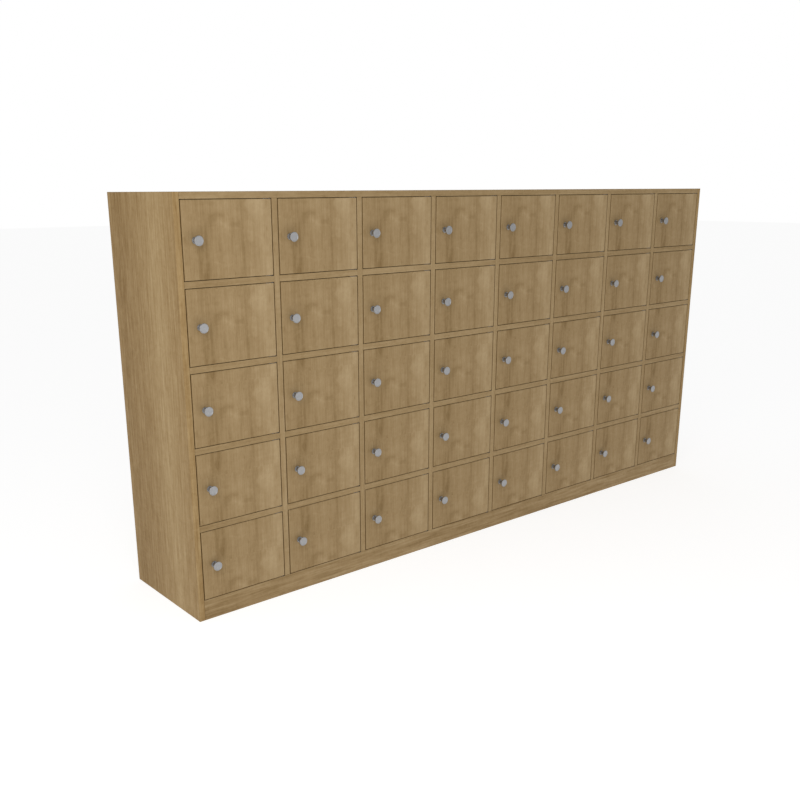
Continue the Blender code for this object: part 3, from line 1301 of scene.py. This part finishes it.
@dataclass
class Carcass:
    """The seventeen boards, with their edges eased."""

    edge_radius: float = 0.8 * MM
    edge_segments: int = 2
    shortest_edge: float = 4.0 * MM
    level_boards: tuple[str, ...] = ("top_panel", "bottom_panel", "shelf_")

    def finish_for(self, node: str, finishes: dict[str, bpy.types.Material]) -> bpy.types.Material:
        """The foil that a board is faced with.

        Args:
            node: The board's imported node.
            finishes: The materials by name.

        Returns:
            Its material.
        """
        if node.endswith("side_panel"):
            return finishes["side"]
        if node == "plinth_board":
            return finishes["plinth"]
        level = node.startswith(self.level_boards)
        return finishes["level"] if level else finishes["upright"]

    def eased(self, node: str) -> bpy.types.Mesh:
        """A board's mesh with its long edges rounded.

        Args:
            node: The board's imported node.

        Returns:
            The new mesh.
        """
        source = frame["nodes"][node].data
        shape = bmesh.new()
        plain = bpy.data.meshes.new(node)
        corners = [vertex.co.copy() for vertex in source.vertices]
        plain.from_pydata(corners, [], [tuple(face.vertices) for face in source.polygons])
        shape.from_mesh(plain)
        bpy.data.meshes.remove(plain)
        bmesh.ops.remove_doubles(shape, verts=shape.verts, dist=MERGE)
        bmesh.ops.dissolve_limit(
            shape, angle_limit=FLAT_TURN, verts=shape.verts, edges=shape.edges
        )
        sharp = [
            edge
            for edge in shape.edges
            if edge.calc_length() > self.shortest_edge and edge.calc_face_angle(0) > FLAT_TURN
        ]
        bevel(shape, sharp, self.edge_radius, self.edge_segments)
        return mesh_of(shape, node)

    def build(self, finishes: dict[str, bpy.types.Material]) -> None:
        """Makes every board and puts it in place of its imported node.

        Args:
            finishes: The materials by name.
        """
        for node in frame["record"]["behaviour"]["bodies"]["carcass"]:
            board = self.eased(node)
            if node == "back_panel":
                board = combined(board, cut=[BackScrews().drills()])
            material = self.finish_for(node, finishes)
            finished(f"{node}_faced", board, material, Slot.OAK, "carcass", [node])


@dataclass
class CarcassFittings:
    """Bushes, connectors, stops, strike plates and screws that stay on the carcass."""

    connector_inset: float = 9.0 * MM
    connector_rows: tuple[float, float] = (0.18, 0.78)
    stop_setback: float = 30.0 * MM
    stop_clearance: float = 0.3 * MM
    strike_middle: float = -14.5 * MM
    cam_middle: float = 6.5 * MM

    def bush_places(self) -> list[tuple[Point, Point]]:
        """Under each ceiling and on each floor of the bays, on the pivot axes.

        Returns:
            Each place and the way that it faces.
        """
        half = GRID.bay_height / 2
        places = []
        for pivot in GRID.pivots().values():
            places.append(((pivot.x, pivot.y, pivot.z + half), (0, 0, -1)))
            places.append(((pivot.x, pivot.y, pivot.z - half), (0, 0, 1)))
        return places

    def connector_places(self) -> list[tuple[Point, Point]]:
        """Two connectors at each end of the level boards, on their undersides.

        Returns:
            Each place and the way that it faces.
        """
        low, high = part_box("left_side_panel")
        left = GRID.first_left + self.connector_inset
        right = -GRID.first_left - self.connector_inset
        places = []
        for node in ("top_panel", "shelf_1", "shelf_2", "shelf_3", "shelf_4"):
            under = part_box(node)[0].z
            for share in self.connector_rows:
                y = low.y + (high.y - low.y) * share
                places += [((x, y, under), (0, 0, -1)) for x in (left, right)]
        return places

    def stop_places(self) -> list[tuple[Point, Point]]:
        """Behind the free top corner of each door.

        Returns:
            Each place and the way that it faces.
        """
        stop = DoorStop()
        reach = stop.block_depth / 2 + stop.bumper_radius / 2
        y = GRID.front + GRID.board + reach + self.stop_clearance
        places = []
        for pivot in GRID.pivots().values():
            x = GRID.bay_left(pivot) + self.stop_setback
            places.append(((x, y, pivot.z + GRID.bay_height / 2), (0, 0, -1)))
        return places

    def strike_places(self) -> list[tuple[Point, Point]]:
        """Over the pocket in the left wall of each bay.

        Returns:
            Each place and the way that it faces.
        """
        y = GRID.front + GRID.board + self.cam_middle
        return [
            ((GRID.bay_left(pivot), y, pivot.z + self.strike_middle), (1, 0, 0))
            for pivot in GRID.pivots().values()
        ]

    def build(self, metal: bpy.types.Material, plastic: bpy.types.Material) -> None:
        """Makes each kind of fitting as one piece.

        Args:
            metal: The finish of the screws, connectors and strike plates.
            plastic: The finish of the bushes and stops.
        """
        screws = BackScrews()
        kinds = (
            ("back_screws", screws.head, screws.places(), metal, Slot.LOCK),
            ("pivot_bushes", PivotBush(), self.bush_places(), plastic, Slot.PLASTIC),
            ("cam_connectors", CamConnector(), self.connector_places(), metal, Slot.LOCK),
            ("door_stops", DoorStop(), self.stop_places(), plastic, Slot.PLASTIC),
            ("strike_plates", StrikePlate(), self.strike_places(), metal, Slot.LOCK),
        )
        for name, fitting, places, material, slot in kinds:
            finished(name, fitting.mesh(name, places, material), material, slot, "carcass")


@dataclass
class DoorPanel:
    """A door's board, edged all round, with the hole for its lock."""

    edge_radius: float = 1.2 * MM
    side_relief: float = 0.3 * MM
    end_reach: float = 0.3 * MM
    edging: float = 1.0 * MM
    joint_width: float = 0.15 * MM
    joint_depth: float = 0.12 * MM
    bore_radius: float = 8.4 * MM
    bore_sides: int = 32

    def mesh(self) -> bpy.types.Mesh:
        """The panel around its pivot axis.

        Returns:
            The panel at mid-height on its axis.
        """
        inset = GRID.pivot_inset
        half = GRID.door_height / 2 + self.end_reach
        low = (inset - GRID.door_width + self.side_relief, -inset, -half)
        high = (inset - self.side_relief, GRID.board - inset, half)
        shape = rounded_box(low, high, self.edge_radius, 3)
        for face in sorted(shape.faces, key=lambda side: side.calc_area())[-2:]:
            self.score(shape, face)
        middle = (GRID.knob_x, GRID.board, 0)
        length = 3 * GRID.board
        drill = turned(
            [(0, length), (self.bore_radius, length), (self.bore_radius, 0), (0, 0)],
            middle,
            self.bore_sides,
            "drill",
        )
        return combined(mesh_of(shape, "door_panel"), cut=[drill])

    def score(self, shape: bmesh.types.BMesh, face: bmesh.types.BMFace) -> None:
        """Draws the fine joint between the edging and the face.

        Args:
            shape: The panel's bmesh.
            face: The face to score.
        """
        steps = ((self.edging, 0.0), (self.joint_width, -self.joint_depth))
        for thickness, depth in (*steps, (self.joint_width, self.joint_depth)):
            bmesh.ops.inset_individual(shape, faces=[face], thickness=thickness, depth=depth)


@dataclass
class TurnKnob:
    """The knob with its spindle, its cam and the pinion at its end."""

    reach: float = 23.0 * MM
    head_radius: float = 13.5 * MM
    rim_width: float = 1.7 * MM
    rim_round: float = 0.8 * MM
    dish: float = 0.5 * MM
    head_rim: float = 3.8 * MM
    neck_radius: float = 6.5 * MM
    neck_top: float = 12.0 * MM
    neck_foot: float = 3.4 * MM
    flare: tuple[tuple[float, float], ...] = (
        (2.2 * MM, 2.6 * MM),
        (0.6 * MM, 0.6 * MM),
        (0.0 * MM, -1.0 * MM),
    )  # how much wider and higher than the neck's top it is where it widens into the head
    spindle_radius: float = 3.9 * MM
    cam_front: float = 5.0 * MM
    cam_thickness: float = 3.0 * MM
    cam_half_width: float = 6.0 * MM
    cam_length: float = 45.0 * MM
    cam_round: float = 0.3 * MM
    pinion_front: float = 10.0 * MM
    pinion_length: float = 6.0 * MM
    pinion_radius: float = 5.9 * MM
    sides: int = 48

    def profile(self) -> Outline:
        """From the middle of the dished face to the end of the spindle.

        Returns:
            The knob's half outline.
        """
        top, rim, edge = self.reach, self.rim_width, self.rim_round
        inner = self.head_radius - rim
        underside = top - self.head_rim
        pinion = -GRID.board - self.pinion_front
        face = [(0, top - self.dish), (inner - self.dish, top - self.dish), (inner, top)]
        shoulder = arc((self.head_radius - edge, top - edge), edge, 90, 0, 4)
        heel = arc((self.head_radius - edge, underside + edge), edge, 0, -55, 3)
        neck = [(self.neck_radius + wider, self.neck_top + higher) for wider, higher in self.flare]
        stem = [
            (self.neck_radius, self.neck_foot),
            (self.spindle_radius, self.neck_foot),
        ]
        foot = [
            (self.spindle_radius, pinion),
            (self.pinion_radius, pinion),
            (self.pinion_radius, pinion - self.pinion_length),
            (0, pinion - self.pinion_length),
        ]
        return face + shoulder + heel + neck + stem + foot

    def cam(self) -> bpy.types.Mesh:
        """The steel tongue, hanging down as it does unlocked.

        Returns:
            The closed mesh.
        """
        half = self.cam_half_width
        low_end = half - self.cam_length
        outline = arc((0, 0), half, 0, 180, 10) + arc((0, low_end), half, 180, 360, 10)
        front = GRID.board - GRID.pivot_inset + self.cam_front
        shape = plate(outline, front, front + self.cam_thickness, self.cam_round)
        shape.transform(Matrix.Translation((GRID.knob_x, 0, 0)))
        return mesh_of(shape, "cam")

    def mesh(self) -> bpy.types.Mesh:
        """The whole knob around its door's pivot axis.

        Returns:
            One solid.
        """
        centre = (GRID.knob_x, -GRID.pivot_inset, 0)
        knob = combined(turned(self.profile(), centre, self.sides, "knob"), added=[self.cam()])
        knob.shade_smooth()
        knob.set_sharp_from_angle(angle=CRISP_TURN)
        return knob


@dataclass
class LockAndPivots:
    """A lock case with its barrel and rose, and the plates and pins that a door hangs on."""

    width: float = 60.0 * MM
    height: float = 100.0 * MM
    depth: float = 28.0 * MM
    wall: float = 2.0 * MM
    lip: float = 0.8 * MM
    corner: float = 2.0 * MM
    screw_inset: float = 6.0 * MM
    slot_half_length: float = 13.5 * MM
    slot_front: float = 17.1 * MM
    slot_back: float = 20.9 * MM
    window_half_width: float = 17.0 * MM
    window_low: float = -46.0 * MM
    window_high: float = -26.0 * MM
    sweep_low: float = -38.0 * MM
    sweep_high: float = 9.0 * MM
    cam_slot_front: float = 3.5 * MM
    cam_slot_back: float = 9.5 * MM
    rose_radius: float = 9.0 * MM
    rose_height: float = 3.0 * MM
    barrel_radius: float = 8.0 * MM
    spindle_bore: float = 4.5 * MM
    seat: float = 0.3 * MM
    opening_rim: float = 1.5 * MM
    rim_round: float = 0.5 * MM
    rose_round: float = 1.0 * MM
    lower_screws: float = -1.5 * MM
    pin_radius: float = 2.0 * MM
    pin_reach: float = 9.0 * MM
    pin_root: float = 1.0 * MM
    pin_taper: float = 0.5 * MM
    pin_end_radius: float = 1.5 * MM
    pin_sides: int = 20
    plate_length: float = 24.0 * MM
    plate_overhang: float = 3.0 * MM
    plate_half_width: float = 3.2 * MM
    plate_seat: float = 1.2 * MM
    plate_proud: float = 0.5 * MM
    plate_round: float = 0.15 * MM
    plate_screws: tuple[float, float] = (-9.0 * MM, -17.0 * MM)
    plate_screw_y: float = 0.5 * MM
    sides: int = 40

    @property
    def door_back(self) -> float:
        """Y of a door's back from its pivot axis."""
        return GRID.board - GRID.pivot_inset

    def box(self, low: Point, high: Point, radius: float = 0.0) -> bpy.types.Mesh:
        """A box from corners measured from the knob's axis and the door's back.

        Args:
            low: The lowest corner.
            high: The highest corner.
            radius: The rounding, or 0 for a sharp box.

        Returns:
            The mesh around the door's pivot axis.
        """
        origin = Vector((GRID.knob_x, self.door_back, 0))
        corners = origin + Vector(low), origin + Vector(high)
        return mesh_of(rounded_box(*corners, radius), "block")

    def case(self) -> bpy.types.Mesh:
        """The hollow case, joined to its barrel and rose.

        Returns:
            One solid.
        """
        half, tall, deep = self.width / 2, self.height / 2, self.depth - self.lip
        top = tall - self.lip
        body = self.box((-half, self.seat, -tall), (half, deep, top), self.corner)
        window = self.window_half_width, self.window_low, self.window_high
        wall, rim, slot = self.wall, self.opening_rim, self.slot_half_length
        frame_box = self.box(
            (-window[0] - rim, deep - wall / 2, window[1] - rim),
            (window[0] + rim, self.depth, window[2] + rim),
            self.rim_round,
        )
        mouth = self.box(
            (-slot - rim, self.slot_front - rim, top - wall / 2),
            (slot + rim, self.slot_back + rim, tall),
            self.rim_round,
        )
        cavity = self.box(
            (wall - half, self.seat + wall, wall - tall), (half - wall, deep - wall, top - wall)
        )
        cam_slot = self.box(
            (-half - wall, self.cam_slot_front, self.sweep_low),
            (wall * 2 - half, self.cam_slot_back, self.sweep_high),
        )
        coin_slot = self.box(
            (-slot, self.slot_front, top - 2 * wall), (slot, self.slot_back, tall + wall)
        )
        coin_window = self.box(
            (-window[0], deep - 2 * wall, window[1]), (window[0], self.depth + wall, window[2])
        )
        drill = self.turned_at_knob(
            [(0, self.depth), (self.spindle_bore, self.depth)]
            + [(self.spindle_bore, -self.depth), (0, -self.depth)]
        )
        return combined(
            body,
            added=[frame_box, mouth, self.turned_at_knob(self.barrel())],
            cut=[cavity, cam_slot, coin_slot, coin_window, drill],
        )

    def turned_at_knob(self, profile: Outline) -> bpy.types.Mesh:
        """A turned solid on the knob's axis, its heights counted from the door's front."""
        return turned(profile, (GRID.knob_x, -GRID.pivot_inset, 0), self.sides, "turning")

    def barrel(self) -> Outline:
        """The barrel's outline: the rose in front of the door, the tube through it.

        Returns:
            Its half outline.
        """
        foot = -GRID.board - self.seat - self.wall / 2
        rose, edge = self.rose_radius, self.rose_round
        return [
            (0, self.rose_height),
            *arc((rose - edge, self.rose_height - edge), edge, 90, 0, 4),
            (rose, self.seat),
            (self.barrel_radius, self.seat),
            (self.barrel_radius, foot),
            (0, foot),
        ]

    def screw_places(self) -> list[tuple[Point, Point]]:
        """At the corners of the case's back, and on the pivot plates.

        Returns:
            Each place and the way that it faces.
        """
        side = self.width / 2 - self.screw_inset
        up = self.height / 2 - self.screw_inset
        back = self.door_back + self.depth - self.lip
        corners = [(x, z) for x in (-side, side) for z in (up, self.lower_screws)]
        places = [((GRID.knob_x + x, back, z), (0, 1, 0)) for x, z in corners]
        face = GRID.door_height / 2 + self.plate_proud
        for sign in (1, -1):
            for x in self.plate_screws:
                places.append(((x, self.plate_screw_y, sign * face), (0, 0, sign)))
        return places

    def pivot(self, sign: int) -> bpy.types.Mesh:
        """The plate and pin at the top, for sign 1, or at the bottom of a door.

        Args:
            sign: 1 for the top or -1 for the bottom.

        Returns:
            One solid.
        """
        edge = GRID.door_height / 2
        half = self.plate_half_width
        low_z, high_z = sorted((sign * (edge - self.plate_seat), sign * (edge + self.plate_proud)))
        left, right = self.plate_overhang - self.plate_length, self.plate_overhang
        blank = rounded_box((left, -half, low_z), (right, half, high_z), self.plate_round, 1)
        tip = edge + self.pin_reach
        rod = bmesh.new()
        low, high = edge - self.pin_root, tip - self.pin_taper
        for start, end, end_radius in (
            (low, high, self.pin_radius),
            (high, tip, self.pin_end_radius),
        ):
            bmesh.ops.create_cone(
                rod,
                cap_ends=start == low,
                segments=self.pin_sides,
                radius1=self.pin_radius,
                radius2=end_radius,
                depth=end - start,
                matrix=Matrix.Translation((0, 0, (start + end) / 2)),
            )
        self.close_rod(rod, high)
        if sign < 0:
            rod.transform(Matrix.Rotation(math.pi, 4, "X"))
        pin = mesh_of(rod, "pin")
        return combined(mesh_of(blank, "plate"), added=[pin])

    def close_rod(self, rod: bmesh.types.BMesh, high: float) -> None:
        """Welds the pin's shank to its tip and leaves one closed skin.

        Args:
            rod: The bmesh of the pin.
            high: Z where the shank meets the tip.
        """
        inner = [
            face
            for face in rod.faces
            if all(abs(vertex.co.z - high) < MERGE for vertex in face.verts)
        ]
        bmesh.ops.delete(rod, geom=inner, context="FACES_ONLY")
        bmesh.ops.remove_doubles(rod, verts=rod.verts, dist=MERGE)
        bmesh.ops.holes_fill(rod, edges=rod.edges)
        bmesh.ops.recalc_face_normals(rod, faces=rod.faces)

    def mesh(self, material: bpy.types.Material) -> bpy.types.Mesh:
        """Everything that a door carries in metal, around its pivot axis.

        Args:
            material: The metal's finish.

        Returns:
            The lock's and the pivots' shells as one mesh.
        """
        screws = PanHeadScrew().mesh("case_screws", self.screw_places(), material)
        mesh = joined([self.case(), self.pivot(1), self.pivot(-1), screws], "lock_and_pivots")
        mesh.shade_smooth()
        mesh.set_sharp_from_angle(angle=CRISP_TURN)
        return mesh


@dataclass
class CoinCarriage:
    """The slide inside the lock that lifts the coin."""

    half_width: float = 20.0 * MM
    bottom: float = -34.0 * MM
    top: float = 22.0 * MM
    front: float = 17.5 * MM
    thickness: float = 3.0 * MM
    coin_radius: float = 12.0 * MM
    rack_right: float = -6.9 * MM
    rack_width: float = 4.0 * MM
    rack_front: float = 10.0 * MM
    rack_bottom: float = -30.0 * MM
    rack_top: float = 10.0 * MM
    slide_round: float = 0.5 * MM
    rack_round: float = 0.3 * MM
    coin_sides: int = 40

    def mesh(self) -> bpy.types.Mesh:
        """The slide around its door's pivot axis.

        Returns:
            The slide with its rack.
        """
        back = GRID.board - GRID.pivot_inset
        origin = Vector((GRID.knob_x, back, 0))
        low = origin + Vector((-self.half_width, self.front, self.bottom))
        high = origin + Vector((self.half_width, self.front + self.thickness, self.top))
        slab = mesh_of(rounded_box(low, high, self.slide_round), "slab")
        left = self.rack_right - self.rack_width
        rack_low = origin + Vector((left, self.rack_front, self.rack_bottom))
        rack_high = origin + Vector(
            (self.rack_right, self.front + self.thickness / 2, self.rack_top)
        )
        rack = mesh_of(rounded_box(rack_low, rack_high, self.rack_round), "rack")
        centre = (GRID.knob_x, back + self.front + 2 * self.thickness, self.top)
        length = 4 * self.thickness
        radius = self.coin_radius
        coin = turned(
            [(0, length), (radius, length), (radius, 0), (0, 0)], centre, self.coin_sides, "coin"
        )
        return combined(slab, added=[rack], cut=[coin])


@dataclass
class Doors:
    """The forty doors, each with its panel, its knob and its lock."""

    first: str = "door_r1_c1"

    def placed(self, master: bpy.types.Mesh, pivot: Vector) -> bpy.types.Mesh:
        """A copy of a master mesh at a door's pivot.

        Args:
            master: The mesh around a pivot axis.
            pivot: The door's pivot.

        Returns:
            The copy.
        """
        mesh = master.copy()
        mesh.transform(Matrix.Translation(pivot))
        return mesh

    def build(self, finishes: dict[str, bpy.types.Material]) -> None:
        """Makes the masters once, and every door from them.

        Args:
            finishes: The materials by name.
        """
        panel = DoorPanel().mesh()
        knob = TurnKnob().mesh()
        lock = LockAndPivots().mesh(finishes["lock"])
        for door, pivot in GRID.pivots().items():
            first = door == self.first
            finished(
                f"{door}_panel", self.placed(panel, pivot), finishes["door"], Slot.OAK, door, [door]
            )
            knob_body, knob_nodes = ("lock_knob", ["lock_knob"]) if first else (door, [])
            finished(
                f"{door}_knob",
                self.placed(knob, pivot),
                finishes["knob"],
                Slot.KNOB,
                knob_body,
                knob_nodes,
            )
            lock_nodes = ["lock_case"] if first else []
            name = f"{door}_lock_and_pivots"
            mesh = self.placed(lock, pivot)
            finished(name, mesh, finishes["lock"], Slot.LOCK, door, lock_nodes)
        carriage = self.placed(CoinCarriage().mesh(), GRID.pivots()[self.first])
        finished(
            "coin_carriage_slide",
            carriage,
            finishes["plastic"],
            Slot.PLASTIC,
            "coin_carriage",
            ["coin_carriage"],
        )


# ------------------------------------------------------------------ studio


@dataclass
class Studio:
    """The floor, the lights and the camera."""

    camera_place: Point = (-2.3201, -2.3803, 1.2024)
    heading: float = 39.36
    pitch: float = -16.05
    roll: float = -0.304
    lens: float = 41.04
    shift: tuple[float, float] = (0.025, 0.065)
    floor_size: float = 60.0
    floor_tone: float = 0.5
    floor_glow: float = 0.74
    fill_strength: float = 0.44
    mirrored_strength: float = 0.4
    key_place: Point = (-2.4, -1.8, 1.8)
    key_aim: Point = (-1.1, -0.1, 0.6)
    key_size: float = 1.6
    key_power: float = 24.0
    front_place: Point = (0.5, -3.6, 0.9)
    front_aim: Point = (-0.7, -0.2, 0.6)
    front_size: float = 2.0
    front_power: float = 6.0

    def add_camera(self) -> None:
        """A camera with the heading counted to the right from straight ahead."""
        heading, pitch, roll = (math.radians(a) for a in (self.heading, self.pitch, self.roll))
        ahead = Vector(
            (
                math.sin(heading) * math.cos(pitch),
                math.cos(heading) * math.cos(pitch),
                math.sin(pitch),
            )
        )
        right = Vector((math.cos(heading), -math.sin(heading), 0))
        up = right.cross(ahead)
        side = math.cos(roll) * right + math.sin(roll) * up
        over = -math.sin(roll) * right + math.cos(roll) * up
        data = bpy.data.cameras.new("camera")
        data.sensor_width = 36.0
        data.lens = self.lens
        data.shift_x, data.shift_y = self.shift
        data.clip_start, data.clip_end = 0.05, 200.0
        camera = bpy.data.objects.new("camera", data)
        turn = Matrix((side, over, -ahead)).transposed().to_4x4()
        camera.matrix_world = Matrix.Translation(self.camera_place) @ turn
        bpy.context.scene.collection.objects.link(camera)
        bpy.context.scene.camera = camera

    def add_floor(self) -> None:
        """A plain pale floor."""
        shape = bmesh.new()
        bmesh.ops.create_grid(shape, x_segments=1, y_segments=1, size=self.floor_size / 2)
        floor = shown("floor", mesh_of(shape, "floor"))
        graph = ShaderGraph("floor_paper")
        floor.data.materials.append(
            graph.surface(
                {
                    "Base Color": (self.floor_tone, self.floor_tone, self.floor_tone, 1.0),
                    "Roughness": 0.9,
                    "Specular IOR Level": 0.0,
                    "Emission Color": (1.0, 1.0, 1.0, 1.0),
                    "Emission Strength": self.floor_glow,
                }
            )
        )

    def add_lights(self) -> None:
        """An even white room, and a soft light at the front left."""
        world = bpy.data.worlds.new("room")
        bpy.context.scene.world = world
        world.use_nodes = True
        graph = NodeGraph(world.node_tree)
        white = (1.0, 1.0, 1.0, 1.0)
        fill = graph.node(
            "ShaderNodeBackground", {}, {"Color": white, "Strength": self.fill_strength}
        )
        backdrop = graph.node("ShaderNodeBackground", {}, {"Color": white, "Strength": 1.0})
        mirrored = graph.node(
            "ShaderNodeBackground", {}, {"Color": white, "Strength": self.mirrored_strength}
        )
        paths = graph.node("ShaderNodeLightPath").outputs
        lit = graph.node(
            "ShaderNodeMixShader",
            {},
            {0: paths["Is Glossy Ray"], 1: fill.outputs[0], 2: mirrored.outputs[0]},
        )
        mixed = graph.node(
            "ShaderNodeMixShader",
            {},
            {0: paths["Is Camera Ray"], 1: lit.outputs[0], 2: backdrop.outputs[0]},
        )
        graph.node("ShaderNodeOutputWorld", {}, {"Surface": mixed.outputs[0]})
        self.add_panel("key", self.key_place, self.key_aim, self.key_size, self.key_power)
        self.add_panel("front", self.front_place, self.front_aim, self.front_size, self.front_power)

    def add_panel(self, name: str, place: Point, aim: Point, size: float, power: float) -> None:
        """A soft square light.

        Args:
            name: Its name.
            place: Its middle.
            aim: The point that it faces.
            size: The length of its sides.
            power: What it gives out, in watts.
        """
        data = bpy.data.lights.new(name, "AREA")
        data.size = size
        data.energy = power
        light = bpy.data.objects.new(name, data)
        turn = (Vector(aim) - Vector(place)).to_track_quat("-Z", "Y").to_matrix().to_4x4()
        light.matrix_world = Matrix.Translation(place) @ turn
        bpy.context.scene.collection.objects.link(light)

    def build(self) -> None:
        """Sets up the studio."""
        self.add_camera()
        self.add_floor()
        self.add_lights()
        bpy.context.scene.view_settings.view_transform = "Standard"


def make_finishes() -> dict[str, bpy.types.Material]:
    """Every finish on the bank, by the name that the sub-assemblies use.

    Returns:
        The materials by name.
    """
    kinds = {
        "door": DoorOakFoil("oak_foil_door", Grain.UPRIGHT, seed=3.0),
        "side": SideOakFoil(
            "oak_foil_side", Grain.UPRIGHT, seed=11.0, streak_depth=0.9, tone_shift=0.03
        ),
        "upright": OakFoil("oak_foil_upright", Grain.UPRIGHT, seed=23.0, tone_shift=0.05),
        # the level boards get no painted shade in the gaps
        "level": OakFoil("oak_foil_level", Grain.LEVEL, seed=31.0, edge_shade=0.0),
        # the plinth's foil is made darker all over: painted shade, standing in for the shade low down by the floor
        "plinth": OakFoil(
            "oak_foil_plinth", Grain.LEVEL, seed=47.0, streak_depth=1.0, tone_shift=-0.06
        ),
        "knob": SatinMetal("satin_knob", (0.35, 0.35, 0.355)),
        "lock": SatinMetal("plated_lock", (0.33, 0.33, 0.335), metallic=0.8, roughness=0.42),
        "plastic": MouldedPlastic("moulded_plastic", (0.025, 0.025, 0.026)),
    }
    return {name: kind.material() for name, kind in kinds.items()}


def main() -> None:
    """Builds the studio and then the bank, one sub-assembly at a time."""
    logging.basicConfig(level=logging.INFO, format="%(message)s")
    Studio().build()
    finishes = make_finishes()
    Carcass().build(finishes)
    CarcassFittings().build(finishes["lock"], finishes["plastic"])
    Doors().build(finishes)


if __name__ == "__main__":
    main()
